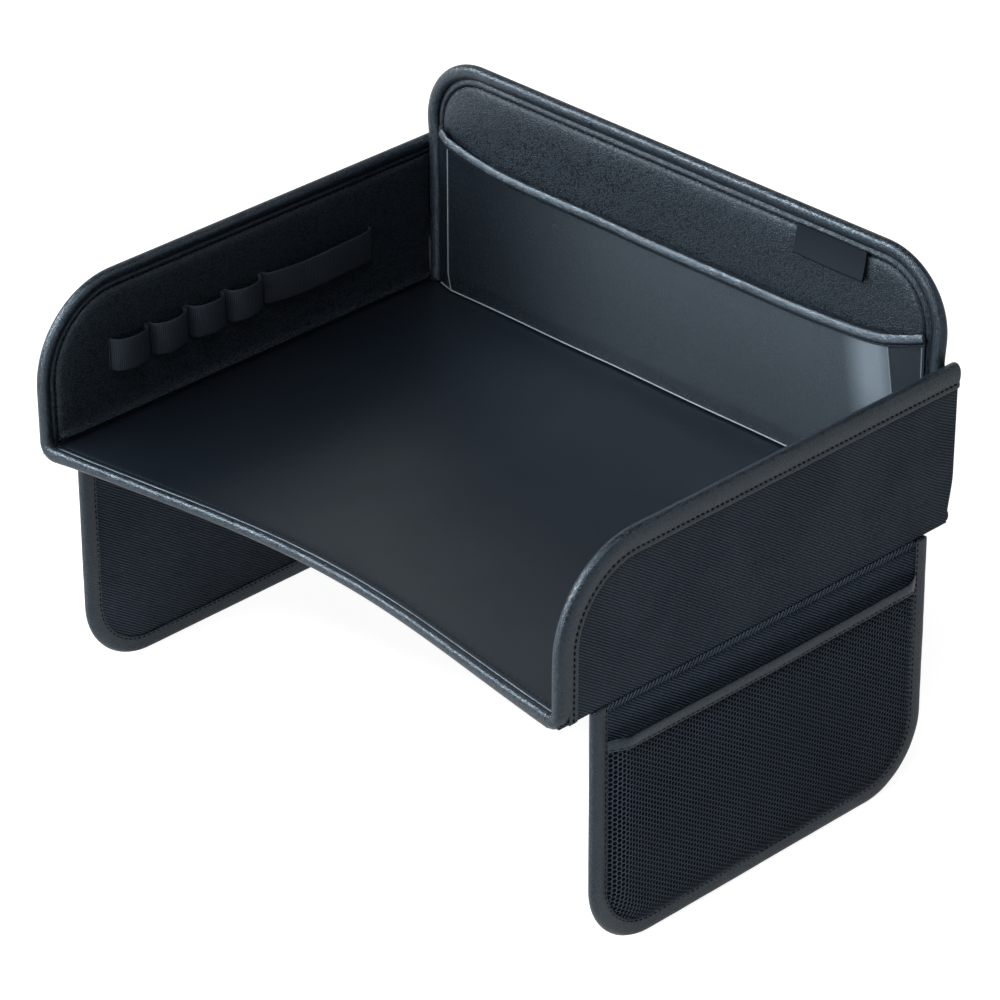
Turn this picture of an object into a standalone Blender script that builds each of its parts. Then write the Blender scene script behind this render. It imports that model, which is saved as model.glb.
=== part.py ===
"""A child's travel tray: a padded lap tray with fold-out walls, a clear pocket, pen loops
on the left wall and two wings with mesh pockets that hang beside the lap.

Metres, +Z up. The origin is the middle of the tray floor's underside; the child sits at -Y.
Panels are drawn flat as outlines in (u, v), layered along w, and put in place by one function each.
"""

import math

import bmesh
import bpy
from mathutils import Vector

# Overall sizes
TRAY_WIDTH = 0.420
TRAY_DEPTH = 0.314
SIDE_HEIGHT = 0.1008
BACK_HEIGHT = 0.1606
SIDE_LEAN = math.radians(0.5)
SIDE_CORNER_RADIUS = 0.059
BACK_CORNER_RADIUS = 0.045
FRONT_SAG = 0.0225

# Layers of a wall, from its woven outside to its padded inside
CLEARANCE = 0.0003
COVER_THICKNESS = 0.0008
BOARD_THICKNESS = 0.0015
PAD_PINCHED = 0.0007
PAD_BAND = 0.0015
PAD_CROWN = 0.0027
STITCH_DEPTH = 0.0005

# Layers of the tray floor, from its underside up
UNDERSIDE_THICKNESS = 0.0016
UNDERSIDE_RIM = 0.0004
FLOOR_PAD_PINCHED = 0.0007
FLOOR_PAD_BAND = 0.0012
FLOOR_PAD_CROWN = 0.0020

# Edge binding: a tape folded over the edge, with a leg on each face
TAPE_THICKNESS = 0.0007
TAPE_OUTER_LEG = 0.015
TAPE_INNER_LEG = 0.008
FLOOR_UNDER_LEG = 0.012
TAPE_FOLD = 0.0020
BOARD_SETBACK = 0.0012

# Distances in from a bound edge to the features of a pad
BAND_STEP = 0.0005
BAND_WIDTH = 0.0024
STITCH_HALF_WIDTH = 0.0006
PILLOW_WIDTH = 0.014
FREE_EDGE_SHARE = 0.3
PILLOW_MIDDLE_SHARE = 0.35
PILLOW_RISE_SHARE = 0.75

# Rear corner flaps: hook tape on the flap holds loop tape on the back wall
FLAP_THICKNESS = 0.0010
FLAP_BEAD_RADIUS = 0.0017
FLAP_REACH = 0.062
FLAP_LOW = 0.030
FLAP_HIGH = 0.081
FLAP_BEAD_LOW = 0.003
FLAP_CORNER_RADIUS = 0.008
HOOK_TAPE_THICKNESS = 0.0008
LOOP_TAPE_THICKNESS = 0.0008
HOOK_TAPE_MARGIN = 0.006
HOOK_TAPE_LENGTH = 0.031
LOOP_TAPE_OVERSIZE = 0.003
TAPE_CORNER_RADIUS = 0.003

# Back wall fold and its clear pocket
BACK_HINGE_RISE = 0.009
POCKET_DEPTH = 0.0058
POCKET_FILM = 0.0005
POCKET_HALF_WIDTH = 0.193
POCKET_TOP = 0.103
POCKET_END_RISE = 0.013
POCKET_RISE_POWER = 6
POCKET_TAPE_THICKNESS = 0.0006
POCKET_TAPE_LEG = 0.0062
POCKET_TAPE_FOLD = 0.0009

# Blank woven tag on the back wall
TAG_WIDTH = 0.052
TAG_HEIGHT = 0.0165
TAG_THICKNESS = 0.0010
TAG_FROM_SIDE = 0.0551
TAG_BELOW_TOP = 0.0095

# Elastic pen loops on the left wall
ELASTIC_WIDTH = 0.0205
ELASTIC_THICKNESS = 0.0010
ELASTIC_CENTRE_HEIGHT = 0.0487
LOOPS_START = -0.1055
SMALL_LOOP_PITCH = 0.0295
SMALL_LOOP_COUNT = 4
SMALL_LOOP_DEPTH = 0.0080
LONG_LOOP_LENGTH = 0.0865
LONG_LOOP_DEPTH = 0.0065
LOOP_STITCH_GAP = 0.0030
ELASTIC_TAIL = 0.0050

# Wings: two covers over a board, hung from a rolled seam under each side wall
WING_OFFSET = 0.0015
WING_FRONT = -0.130
WING_REAR = 0.136
WING_DROP = 0.1584
WING_BOARD = 0.0012
WING_LEG = 0.0105
WING_CORNER_RADIUS = 0.045

# Mesh pockets on the wings
NET_TOP = 0.0205
NET_STANDOFF = 0.0063
NET_THICKNESS = 0.0008
NET_PITCH = 0.0170
NET_BAR = 0.0030
NET_HEM = 0.0035
NET_SIDE_THICKNESS = 0.0008
NET_FLANGE = 0.0050
NET_TAPE_THICKNESS = 0.0006
NET_TAPE_LEG = 0.0058
NET_TAPE_FOLD = 0.0009

# Cutting and smoothing
OVERRUN = 0.004
MERGE_DISTANCE = 0.00001
SMALLEST_RADIUS = 0.0004
CORNER_STEPS = 9
SMALL_CORNER_STEPS = 4
FRONT_STEPS = 22
NOSE_STEPS = 6
BEAD_STEPS = 16
SMALL_LOOP_STEPS = 10
LONG_LOOP_STEPS = 18
POCKET_TOP_STEPS = 20
SHARP_ANGLE = math.radians(38)

# Levels worked out from the layers: distance from a wall's outer face
WALL_BOARD_LOW = COVER_THICKNESS + CLEARANCE
WALL_BOARD_HIGH = WALL_BOARD_LOW + BOARD_THICKNESS
WALL_PAD_LOW = WALL_BOARD_HIGH + CLEARANCE
WALL_PAD_PINCH = WALL_PAD_LOW + PAD_PINCHED
WALL_THICKNESS = WALL_PAD_LOW + PAD_CROWN
WALL_TAPE_HIGH = WALL_PAD_PINCH + CLEARANCE + TAPE_THICKNESS
WALL_TAPE_LOW = -CLEARANCE - TAPE_THICKNESS

# Heights of the tray floor's layers
FLOOR_BOARD_LOW = UNDERSIDE_THICKNESS + CLEARANCE
FLOOR_BOARD_HIGH = FLOOR_BOARD_LOW + BOARD_THICKNESS
FLOOR_PAD_LOW = FLOOR_BOARD_HIGH + CLEARANCE
FLOOR_PAD_PINCH = FLOOR_PAD_LOW + FLOOR_PAD_PINCHED
FLOOR_TOP = FLOOR_PAD_LOW + FLOOR_PAD_CROWN
FLOOR_RIM_LOW = UNDERSIDE_THICKNESS - UNDERSIDE_RIM
FLOOR_TAPE_LOW = FLOOR_RIM_LOW - CLEARANCE - TAPE_THICKNESS
FLOOR_TAPE_HIGH = FLOOR_PAD_PINCH + CLEARANCE + TAPE_THICKNESS

# Places that several pieces share
LIP_INSET = COVER_THICKNESS + CLEARANCE
BOUND_INSET = TAPE_FOLD + CLEARANCE
FLAP_STACK = (3 * CLEARANCE + LOOP_TAPE_THICKNESS + HOOK_TAPE_THICKNESS + FLAP_THICKNESS)
FRONT_EDGE = -TRAY_DEPTH / 2
REAR_FACE = TRAY_DEPTH / 2 - FLAP_STACK
FLOOR_HALF_WIDTH = TRAY_WIDTH / 2 - WALL_THICKNESS - CLEARANCE
BACK_FOOT = FLOOR_TOP + CLEARANCE
BACK_HALF_WIDTH = FLOOR_HALF_WIDTH
BACK_PANEL_HEIGHT = BACK_HEIGHT - BACK_FOOT
BACK_HINGE_Y = REAR_FACE - WALL_THICKNESS
BACK_HINGE_Z = BACK_FOOT + BACK_HINGE_RISE

POCKET_FILM_BACK = WALL_THICKNESS + POCKET_DEPTH
POCKET_FILM_FRONT = POCKET_FILM_BACK + POCKET_FILM
POCKET_TAPE_BACK = POCKET_FILM_BACK - CLEARANCE - POCKET_TAPE_THICKNESS
POCKET_TAPE_FRONT = POCKET_FILM_FRONT + CLEARANCE + POCKET_TAPE_THICKNESS
POCKET_REACH = POCKET_FILM_FRONT - WALL_THICKNESS
POCKET_FOOT = BACK_HINGE_RISE - math.sqrt(BACK_HINGE_RISE ** 2 - POCKET_REACH ** 2)

WING_HALF_CORE = WING_BOARD / 2 + CLEARANCE + COVER_THICKNESS
WING_HALF_TAPE = WING_HALF_CORE + CLEARANCE + TAPE_THICKNESS
WING_X = TRAY_WIDTH / 2 - WING_OFFSET
WING_HINGE_Z = -WING_HALF_TAPE - CLEARANCE
WING_LENGTH_DOWN = WING_DROP + WING_HINGE_Z
NET_BACK = WING_HALF_CORE + NET_STANDOFF
NET_FRONT = NET_BACK + NET_THICKNESS
NET_INSET = WING_LEG + CLEARANCE
NET_TOP_DOWN = NET_TOP + WING_HINGE_Z

FLAP_HINGE_Y = REAR_FACE + CLEARANCE + FLAP_BEAD_RADIUS
FLAP_FRONT = FLAP_STACK - FLAP_THICKNESS - CLEARANCE - FLAP_BEAD_RADIUS


def clear_scene():
    for item in list(bpy.data.objects):
        bpy.data.objects.remove(item, do_unlink=True)


def make_material(name, colour, roughness, alpha=1.0):
    material = bpy.data.materials.new(name)
    material.use_nodes = True
    shader = material.node_tree.nodes["Principled BSDF"]
    shader.inputs["Base Color"].default_value = (*colour, 1.0)
    shader.inputs["Roughness"].default_value = roughness
    shader.inputs["Metallic"].default_value = 0.0
    shader.inputs["Alpha"].default_value = alpha
    return material


def make_empty(name, location, parent=None, turn_about_y=0.0):
    empty = bpy.data.objects.new(name, None)
    bpy.context.scene.collection.objects.link(empty)
    empty.location = location
    empty.rotation_euler = (0.0, turn_about_y, 0.0)
    empty.parent = parent
    return empty


def make_object(name, shape, material, parent=None):
    """Turn a bmesh into a smooth-shaded object whose origin is its parent's, or the tray's."""
    bmesh.ops.remove_doubles(shape, verts=shape.verts, dist=MERGE_DISTANCE)
    bmesh.ops.recalc_face_normals(shape, faces=shape.faces)
    mesh = bpy.data.meshes.new(name)
    shape.to_mesh(mesh)
    shape.free()
    mesh.shade_smooth()
    mesh.set_sharp_from_angle(angle=SHARP_ANGLE)
    if material is not None:
        mesh.materials.append(material)
    item = bpy.data.objects.new(name, mesh)
    bpy.context.scene.collection.objects.link(item)
    item.parent = parent
    return item


def add_boolean(item, other, operation):
    """Join or cut with a helper solid, which stays a hidden wire guide."""
    other.hide_render = True
    other.display_type = "WIRE"
    modifier = item.modifiers.new(operation.lower(), "BOOLEAN")
    modifier.operation = operation
    modifier.solver = "EXACT"
    modifier.object = other


def line_meeting(point, along, other_point, other_along):
    cross = along.x * other_along.y - along.y * other_along.x
    offset = other_point - point
    distance = (offset.x * other_along.y - offset.y * other_along.x) / cross
    return point + along * distance


def rounded_outline(corners, radii, insets, steps=CORNER_STEPS):
    """Outline through counter-clockwise corners, with side i (corner i to i + 1) moved in by its inset.

    Every inset gives the same number of points, so outlines at several insets can be bridged.
    """
    sides = []
    for index, corner in enumerate(corners):
        start = Vector(corner)
        along = (Vector(corners[(index + 1) % len(corners)]) - start).normalized()
        inward = Vector((-along.y, along.x))
        sides.append((start + inward * insets[index], along, inward))
    points = []
    for index, radius in enumerate(radii):
        before, after = sides[index - 1], sides[index]
        corner = line_meeting(before[0], before[1], after[0], after[1])
        if radius == 0:
            points.append(corner)
            continue
        moved_in = (insets[index - 1] + insets[index]) / 2
        inner_radius = max(radius - moved_in, SMALLEST_RADIUS)
        turn = before[1].angle(after[1])
        start = corner - before[1] * inner_radius * math.tan(turn / 2)
        centre = start + before[2] * inner_radius
        spoke = start - centre
        for step in range(steps + 1):
            angle = turn * step / steps
            cosine, sine = math.cos(angle), math.sin(angle)
            points.append(centre + Vector((spoke.x * cosine - spoke.y * sine,
                                           spoke.x * sine + spoke.y * cosine)))
    return points


def bridge_rings(shape, rings, closed=True):
    """Join rings of equal length with quads, and return the rings' vertices."""
    rows = [[shape.verts.new(point) for point in ring] for ring in rings]
    for lower, upper in zip(rows, rows[1:]):
        count = len(lower) if closed else len(lower) - 1
        for index in range(count):
            after = (index + 1) % len(lower)
            shape.faces.new((lower[index], lower[after], upper[after], upper[index]))
    return rows


def solid_from_rings(name, rings, material, parent=None):
    """A closed body: rings bridged in order, with its first and last ring filled."""
    shape = bmesh.new()
    rows = bridge_rings(shape, rings)
    shape.faces.new(rows[0])
    shape.faces.new(rows[-1])
    return make_object(name, shape, material, parent)


def layered_solid(name, outlines_and_levels, place, material, parent=None):
    rings = [[place(u, v, level) for u, v in outline] for outline, level in outlines_and_levels]
    return solid_from_rings(name, rings, material, parent)


def plate(name, outline, low, high, place, material, parent=None):
    return layered_solid(name, [(outline, low), (outline, high)], place, material, parent)


def swept_strip(name, profile, edge_at, place, material, parent=None):
    """Carry a closed profile of (inset, level) points along an edge; edge_at(inset) is its open path."""
    rings = []
    paths = [[place(u, v, level) for u, v in edge_at(inset)] for inset, level in profile]
    for index in range(len(paths[0])):
        rings.append([path[index] for path in paths])
    return solid_from_rings(name, rings, material, parent)


def tape_profile(low, high, low_leg, high_leg, thickness, fold):
    """Section of a tape folded over an edge: a round nose at inset 0 and a leg on each face."""
    radius = (high - low) / 2
    middle = (high + low) / 2
    points = [(low_leg, low + thickness), (low_leg, low)]
    for step in range(NOSE_STEPS + 1):
        angle = math.pi * (step / NOSE_STEPS - 0.5)
        points.append((radius - radius * math.cos(angle), middle + radius * math.sin(angle)))
    points += [(high_leg, high), (high_leg, high - thickness), (fold, high - thickness)]
    points.append((fold, low + thickness))
    return points


def pad_steps(low, pinched, band, crown):
    """(inset, level) of a sewn pad from its edge in: flat under the tape, a band, a stitch line, a pillow."""
    band_start = TAPE_INNER_LEG + CLEARANCE
    band_inset = band_start + BAND_STEP
    band_end = band_inset + BAND_WIDTH
    stitch = band_end + STITCH_HALF_WIDTH
    pillow = stitch + STITCH_HALF_WIDTH
    pillow_middle = pillow + PILLOW_WIDTH * PILLOW_MIDDLE_SHARE
    middle_level = band + (crown - band) * PILLOW_RISE_SHARE
    return [(BOUND_INSET, low), (BOUND_INSET, low + pinched), (band_start, low + pinched),
            (band_inset, low + band), (band_end, low + band), (stitch, low + band - STITCH_DEPTH),
            (pillow, low + band), (pillow_middle, low + middle_level),
            (pillow + PILLOW_WIDTH, low + crown)]


def pad_solid(name, steps, outline_at, place, material, parent=None):
    """A pad whose free edges have the same steps as its bound ones, drawn closer together."""
    layers = []
    for inset, level in steps:
        free_inset = LIP_INSET + (inset - BOUND_INSET) * FREE_EDGE_SHARE
        layers.append((outline_at(inset, free_inset), level))
    return layered_solid(name, layers, place, material, parent)


def front_curve(inset, half_width):
    """Hollowed front edge, left to right: half a circle's arc and half a cosine, moved in by inset."""
    points = []
    for step in range(FRONT_STEPS + 1):
        share = 2 * step / FRONT_STEPS - 1
        x = share * half_width
        across = x / FLOOR_HALF_WIDTH
        rise = (1 - across ** 2) / 2 + (1 + math.cos(math.pi * across)) / 4
        slope = -FRONT_SAG / FLOOR_HALF_WIDTH * (across + math.sin(math.pi * across) * math.pi / 4)
        y = FRONT_EDGE + FRONT_SAG * rise + inset * math.sqrt(1 + slope ** 2)
        points.append(Vector((x, y)))
    return points


def floor_outline(front_inset, free_inset):
    half_width = FLOOR_HALF_WIDTH - free_inset
    rear = REAR_FACE - free_inset
    return front_curve(front_inset, half_width) + [Vector((half_width, rear)), Vector((-half_width, rear))]


def side_outline(bound_inset, free_inset, rear_inset=None):
    """Side wall: u runs front to rear and v up; its top and front are bound, its foot and rear free."""
    rear_inset = free_inset if rear_inset is None else rear_inset
    corners = [(FRONT_EDGE, 0), (REAR_FACE, 0), (REAR_FACE, SIDE_HEIGHT), (FRONT_EDGE, SIDE_HEIGHT)]
    insets = [free_inset, rear_inset, bound_inset, bound_inset]
    return rounded_outline(corners, [0, 0, 0, SIDE_CORNER_RADIUS], insets)


def back_outline(bound_inset, free_inset):
    """Back wall: u runs left to right and v up from its foot, which is its only free edge."""
    corners = [(-BACK_HALF_WIDTH, 0), (BACK_HALF_WIDTH, 0),
               (BACK_HALF_WIDTH, BACK_PANEL_HEIGHT), (-BACK_HALF_WIDTH, BACK_PANEL_HEIGHT)]
    insets = [free_inset, bound_inset, bound_inset, bound_inset]
    return rounded_outline(corners, [0, 0, BACK_CORNER_RADIUS, BACK_CORNER_RADIUS], insets)


def wing_outline(bound_inset, top_inset):
    """Wing: u runs front to rear and v up to the hinge, which is its only free edge."""
    corners = [(WING_FRONT, -WING_LENGTH_DOWN), (WING_REAR, -WING_LENGTH_DOWN), (WING_REAR, 0), (WING_FRONT, 0)]
    insets = [bound_inset, bound_inset, top_inset, bound_inset]
    return rounded_outline(corners, [WING_CORNER_RADIUS, WING_CORNER_RADIUS, 0, 0], insets)


def side_edge(inset):
    points = side_outline(inset, 0, -FLAP_STACK)
    return points[2:] + points[:1]


def back_edge(inset):
    points = back_outline(inset, 0)
    return points[1:] + points[:1]


def wing_edge(inset):
    points = wing_outline(inset, 0)
    return points[-1:] + points[:-1]


def place_floor(u, v, w):
    return Vector((u, v, w))


def place_back(u, v, w):
    """From the back wall's rear face forward, seen from its fold line."""
    return Vector((u, WALL_THICKNESS - w, v - BACK_HINGE_RISE))


def side_placer(side):
    """w runs inward from the wall's outer face; side is 1 on the right and -1 on the left."""
    return lambda u, v, w: Vector((-side * w, u, v))


def wing_placer(side):
    """w runs outward from the wing's middle."""
    return lambda u, v, w: Vector((side * w, u, v))


def build_floor(materials):
    plate("base_board", floor_outline(BOUND_INSET + BOARD_SETBACK, LIP_INSET + CLEARANCE),
          FLOOR_BOARD_LOW, FLOOR_BOARD_HIGH, place_floor, materials["board"])
    build_underside(materials)
    steps = pad_steps(FLOOR_PAD_LOW, FLOOR_PAD_PINCHED, FLOOR_PAD_BAND, FLOOR_PAD_CROWN)
    pad_solid("base_top_panel", steps, floor_outline, place_floor, materials["floor"])
    profile = tape_profile(FLOOR_TAPE_LOW, FLOOR_TAPE_HIGH, FLOOR_UNDER_LEG, TAPE_INNER_LEG,
                           TAPE_THICKNESS, TAPE_FOLD)
    swept_strip("base_front_binding", profile, lambda inset: front_curve(inset, FLOOR_HALF_WIDTH),
                place_floor, materials["binding"])


def build_underside(materials):
    """Underside cover: lips close the floor's free edges, and its front is thin where the tape is sewn on."""
    cover = plate("base_underside_cover", floor_outline(BOUND_INSET, 0), 0, FLOOR_PAD_PINCH,
                  place_floor, materials["woven"])
    hollow = plate("underside_hollow", floor_outline(-OVERRUN, COVER_THICKNESS), UNDERSIDE_THICKNESS,
                   FLOOR_PAD_PINCH + OVERRUN, place_floor, None)
    wide = FLOOR_HALF_WIDTH + OVERRUN
    strip = front_curve(-OVERRUN, wide) + front_curve(FLOOR_UNDER_LEG + CLEARANCE, wide)[::-1]
    recess = plate("underside_recess", strip, -OVERRUN, FLOOR_RIM_LOW, place_floor, None)
    add_boolean(cover, hollow, "DIFFERENCE")
    add_boolean(cover, recess, "DIFFERENCE")


def build_side_wall(side, name, materials):
    hinge = make_empty(name + "_wall_fold", (side * TRAY_WIDTH / 2, 0, 0), turn_about_y=side * SIDE_LEAN)
    place = side_placer(side)
    plate(name + "_wall_board", side_outline(BOUND_INSET + BOARD_SETBACK, LIP_INSET + CLEARANCE),
          WALL_BOARD_LOW, WALL_BOARD_HIGH, place, materials["board"], hinge)
    cover = plate(name + "_wall_outer_cover", side_outline(BOUND_INSET, 0), 0, WALL_PAD_PINCH,
                  place, materials["woven"], hinge)
    hollow = plate(name + "_wall_hollow", side_outline(-OVERRUN, COVER_THICKNESS), COVER_THICKNESS,
                   WALL_PAD_PINCH + OVERRUN, place, None, hinge)
    add_boolean(cover, hollow, "DIFFERENCE")
    steps = pad_steps(WALL_PAD_LOW, PAD_PINCHED, PAD_BAND, PAD_CROWN)
    pad_solid(name + "_wall_inner_panel", steps, side_outline, place, materials["leather"], hinge)
    profile = tape_profile(WALL_TAPE_LOW, WALL_TAPE_HIGH, TAPE_OUTER_LEG, TAPE_INNER_LEG,
                           TAPE_THICKNESS, TAPE_FOLD)
    swept_strip(name + "_wall_binding", profile, side_edge, place, materials["binding"], hinge)
    return hinge


def build_corner_flap(side, name, wall_hinge, materials):
    """Flap sewn to a side wall's rear edge by a round bead; it lies flat on the back wall."""
    hinge = make_empty(name + "_flap_peel", (-side * FLAP_BEAD_RADIUS, FLAP_HINGE_Y, 0), wall_hinge)

    def place(u, v, w):
        return Vector((-side * u, w, v))

    bead_outline = []
    for step in range(BEAD_STEPS):
        angle = 2 * math.pi * step / BEAD_STEPS
        bead_outline.append((FLAP_BEAD_RADIUS * math.cos(angle), FLAP_BEAD_RADIUS * math.sin(angle)))
    rings = [[place(u, height, w) for u, w in bead_outline] for height in (FLAP_BEAD_LOW, FLAP_HIGH)]
    bead = solid_from_rings(name + "_flap_bead", rings, None, hinge)
    corners = [(0, FLAP_LOW), (FLAP_REACH, FLAP_LOW), (FLAP_REACH, FLAP_HIGH), (0, FLAP_HIGH)]
    outline = rounded_outline(corners, [0, FLAP_CORNER_RADIUS, FLAP_CORNER_RADIUS, 0], [0, 0, 0, 0],
                              SMALL_CORNER_STEPS)
    flap = plate(name + "_corner_flap", outline, FLAP_FRONT, FLAP_FRONT + FLAP_THICKNESS, place,
                 materials["woven"], hinge)
    add_boolean(flap, bead, "UNION")
    hook_high = FLAP_FRONT - CLEARANCE
    plate(name + "_flap_hook_tape", tape_patch_outline(0), hook_high - HOOK_TAPE_THICKNESS, hook_high, place,
          materials["hook"], hinge)


def tape_patch_outline(oversize):
    """Hook or loop tape near the flap's free end, measured from the flap's hinge."""
    right = FLAP_REACH - HOOK_TAPE_MARGIN + oversize
    left = FLAP_REACH - HOOK_TAPE_MARGIN - HOOK_TAPE_LENGTH - oversize
    low = FLAP_LOW + HOOK_TAPE_MARGIN - oversize
    high = FLAP_HIGH - HOOK_TAPE_MARGIN + oversize
    corners = [(left, low), (right, low), (right, high), (left, high)]
    return rounded_outline(corners, [TAPE_CORNER_RADIUS] * len(corners), [0] * len(corners), SMALL_CORNER_STEPS)


def build_loop_tape(side, name, hinge, materials):
    """Loop tape on the back wall's rear face, where the flap lies."""
    hinge_x = TRAY_WIDTH / 2 - FLAP_BEAD_RADIUS

    def place(u, v, w):
        return place_back(side * (hinge_x - u), v - BACK_FOOT, w)

    plate(name + "_loop_tape", tape_patch_outline(LOOP_TAPE_OVERSIZE), -CLEARANCE - LOOP_TAPE_THICKNESS,
          -CLEARANCE, place, materials["loop"], hinge)


def build_back_wall(materials):
    hinge = make_empty("back_wall_fold", (0, BACK_HINGE_Y, BACK_HINGE_Z))
    plate("back_wall_board", back_outline(BOUND_INSET + BOARD_SETBACK, LIP_INSET + CLEARANCE),
          WALL_BOARD_LOW, WALL_BOARD_HIGH, place_back, materials["board"], hinge)
    cover = plate("back_wall_outer_cover", back_outline(BOUND_INSET, 0), 0, WALL_PAD_PINCH, place_back,
                  materials["woven"], hinge)
    hollow = plate("back_wall_hollow", back_outline(-OVERRUN, COVER_THICKNESS), COVER_THICKNESS,
                   WALL_PAD_PINCH + OVERRUN, place_back, None, hinge)
    add_boolean(cover, hollow, "DIFFERENCE")
    steps = pad_steps(WALL_PAD_LOW, PAD_PINCHED, PAD_BAND, PAD_CROWN)
    pad_solid("back_wall_inner_panel", steps, back_outline, place_back, materials["leather"], hinge)
    profile = tape_profile(WALL_TAPE_LOW, WALL_TAPE_HIGH, TAPE_OUTER_LEG, TAPE_INNER_LEG,
                           TAPE_THICKNESS, TAPE_FOLD)
    swept_strip("back_wall_binding", profile, back_edge, place_back, materials["binding"], hinge)
    build_clear_pocket(hinge, materials)
    build_tag(hinge, materials)
    return hinge


def pocket_top_curve(drop, half_width):
    """Top edge of the clear pocket, right to left: level in the middle and swept up at its ends."""
    points = []
    for step in range(POCKET_TOP_STEPS + 1):
        share = 1 - 2 * step / POCKET_TOP_STEPS
        across = share * half_width / POCKET_HALF_WIDTH
        rise = POCKET_END_RISE * abs(across) ** POCKET_RISE_POWER
        points.append((share * half_width, POCKET_TOP + rise - BACK_FOOT - drop))
    return points


def pocket_slot_outline(half_width, foot):
    above = BACK_PANEL_HEIGHT + OVERRUN
    return [(-half_width, foot), (half_width, foot), (half_width, above), (-half_width, above)]


def build_clear_pocket(hinge, materials):
    """Clear film held off the back wall along its sides and foot, open at the top under a folded tape.

    Its sides reach down to the pad's sewn band, and its foot only to the pad's crown.
    """
    film_drop = POCKET_TAPE_FOLD + CLEARANCE
    foot = [(-POCKET_HALF_WIDTH, POCKET_FOOT), (POCKET_HALF_WIDTH, POCKET_FOOT)]
    side_low = WALL_PAD_LOW + PAD_BAND + CLEARANCE
    film = plate("clear_pocket", foot + pocket_top_curve(film_drop, POCKET_HALF_WIDTH),
                 side_low, POCKET_FILM_FRONT, place_back, materials["film"], hinge)
    inner_half = POCKET_HALF_WIDTH - POCKET_FILM
    slot = plate("pocket_slot", pocket_slot_outline(inner_half, POCKET_FOOT + POCKET_FILM),
                 side_low - OVERRUN, POCKET_FILM_BACK, place_back, None, hinge)
    step = plate("pocket_foot_step", pocket_slot_outline(inner_half, POCKET_FOOT - OVERRUN),
                 side_low - OVERRUN, WALL_THICKNESS + CLEARANCE, place_back, None, hinge)
    add_boolean(film, slot, "DIFFERENCE")
    add_boolean(film, step, "DIFFERENCE")
    profile = tape_profile(POCKET_TAPE_BACK, POCKET_TAPE_FRONT, POCKET_TAPE_LEG, POCKET_TAPE_LEG,
                           POCKET_TAPE_THICKNESS, POCKET_TAPE_FOLD)
    swept_strip("clear_pocket_binding", profile, lambda inset: pocket_top_curve(inset, inner_half - CLEARANCE),
                place_back, materials["binding"], hinge)


def build_tag(hinge, materials):
    high = BACK_PANEL_HEIGHT - TAG_BELOW_TOP
    right = BACK_HALF_WIDTH - TAG_FROM_SIDE
    left = right - TAG_WIDTH
    outline = [(left, high - TAG_HEIGHT), (right, high - TAG_HEIGHT), (right, high), (left, high)]
    low = WALL_THICKNESS + CLEARANCE
    plate("side_tag", outline, low, low + TAG_THICKNESS, place_back, materials["tag"], hinge)


def loop_arc(start, length, depth, steps):
    """One loop of the elastic, half an ellipse standing off the wall: (u, w) from its front stitch."""
    return [(start + length / 2 * (1 - math.cos(math.pi * step / steps)),
             depth * math.sin(math.pi * step / steps)) for step in range(steps + 1)]


def elastic_path():
    """The strap's middle line: flat at each stitch and standing off the wall in each loop."""
    path = [(LOOPS_START - ELASTIC_TAIL, 0)]
    start = LOOPS_START
    for _ in range(SMALL_LOOP_COUNT):
        length = SMALL_LOOP_PITCH - LOOP_STITCH_GAP
        path += loop_arc(start, length, SMALL_LOOP_DEPTH, SMALL_LOOP_STEPS)
        start += SMALL_LOOP_PITCH
    path += loop_arc(start, LONG_LOOP_LENGTH, LONG_LOOP_DEPTH, LONG_LOOP_STEPS)
    path.append((start + LONG_LOOP_LENGTH + ELASTIC_TAIL, 0))
    return [Vector(point) for point in path]


def offset_path(path, distance):
    """The path moved sideways by distance, with mitred corners."""
    moved = []
    for index, point in enumerate(path):
        before = path[max(index - 1, 0)]
        after = path[min(index + 1, len(path) - 1)]
        arriving = (point - before).normalized() if index > 0 else (after - point).normalized()
        leaving = (after - point).normalized() if index < len(path) - 1 else arriving
        normal = Vector((-arriving.y - leaving.y, arriving.x + leaving.x)).normalized()
        stretch = normal.dot(Vector((-arriving.y, arriving.x)))
        moved.append(point + normal * distance / stretch)
    return moved


def build_pen_loops(hinge, materials):
    place = side_placer(-1)
    path = elastic_path()
    middle = WALL_THICKNESS + CLEARANCE + ELASTIC_THICKNESS / 2
    under = offset_path(path, -ELASTIC_THICKNESS / 2)
    over = offset_path(path, ELASTIC_THICKNESS / 2)
    low = ELASTIC_CENTRE_HEIGHT - ELASTIC_WIDTH / 2
    high = ELASTIC_CENTRE_HEIGHT + ELASTIC_WIDTH / 2
    rings = []
    for inner, outer in zip(under, over):
        rings.append([place(inner.x, low, middle + inner.y), place(outer.x, low, middle + outer.y),
                      place(outer.x, high, middle + outer.y), place(inner.x, high, middle + inner.y)])
    solid_from_rings("pen_loops", rings, materials["elastic"], hinge)


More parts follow.
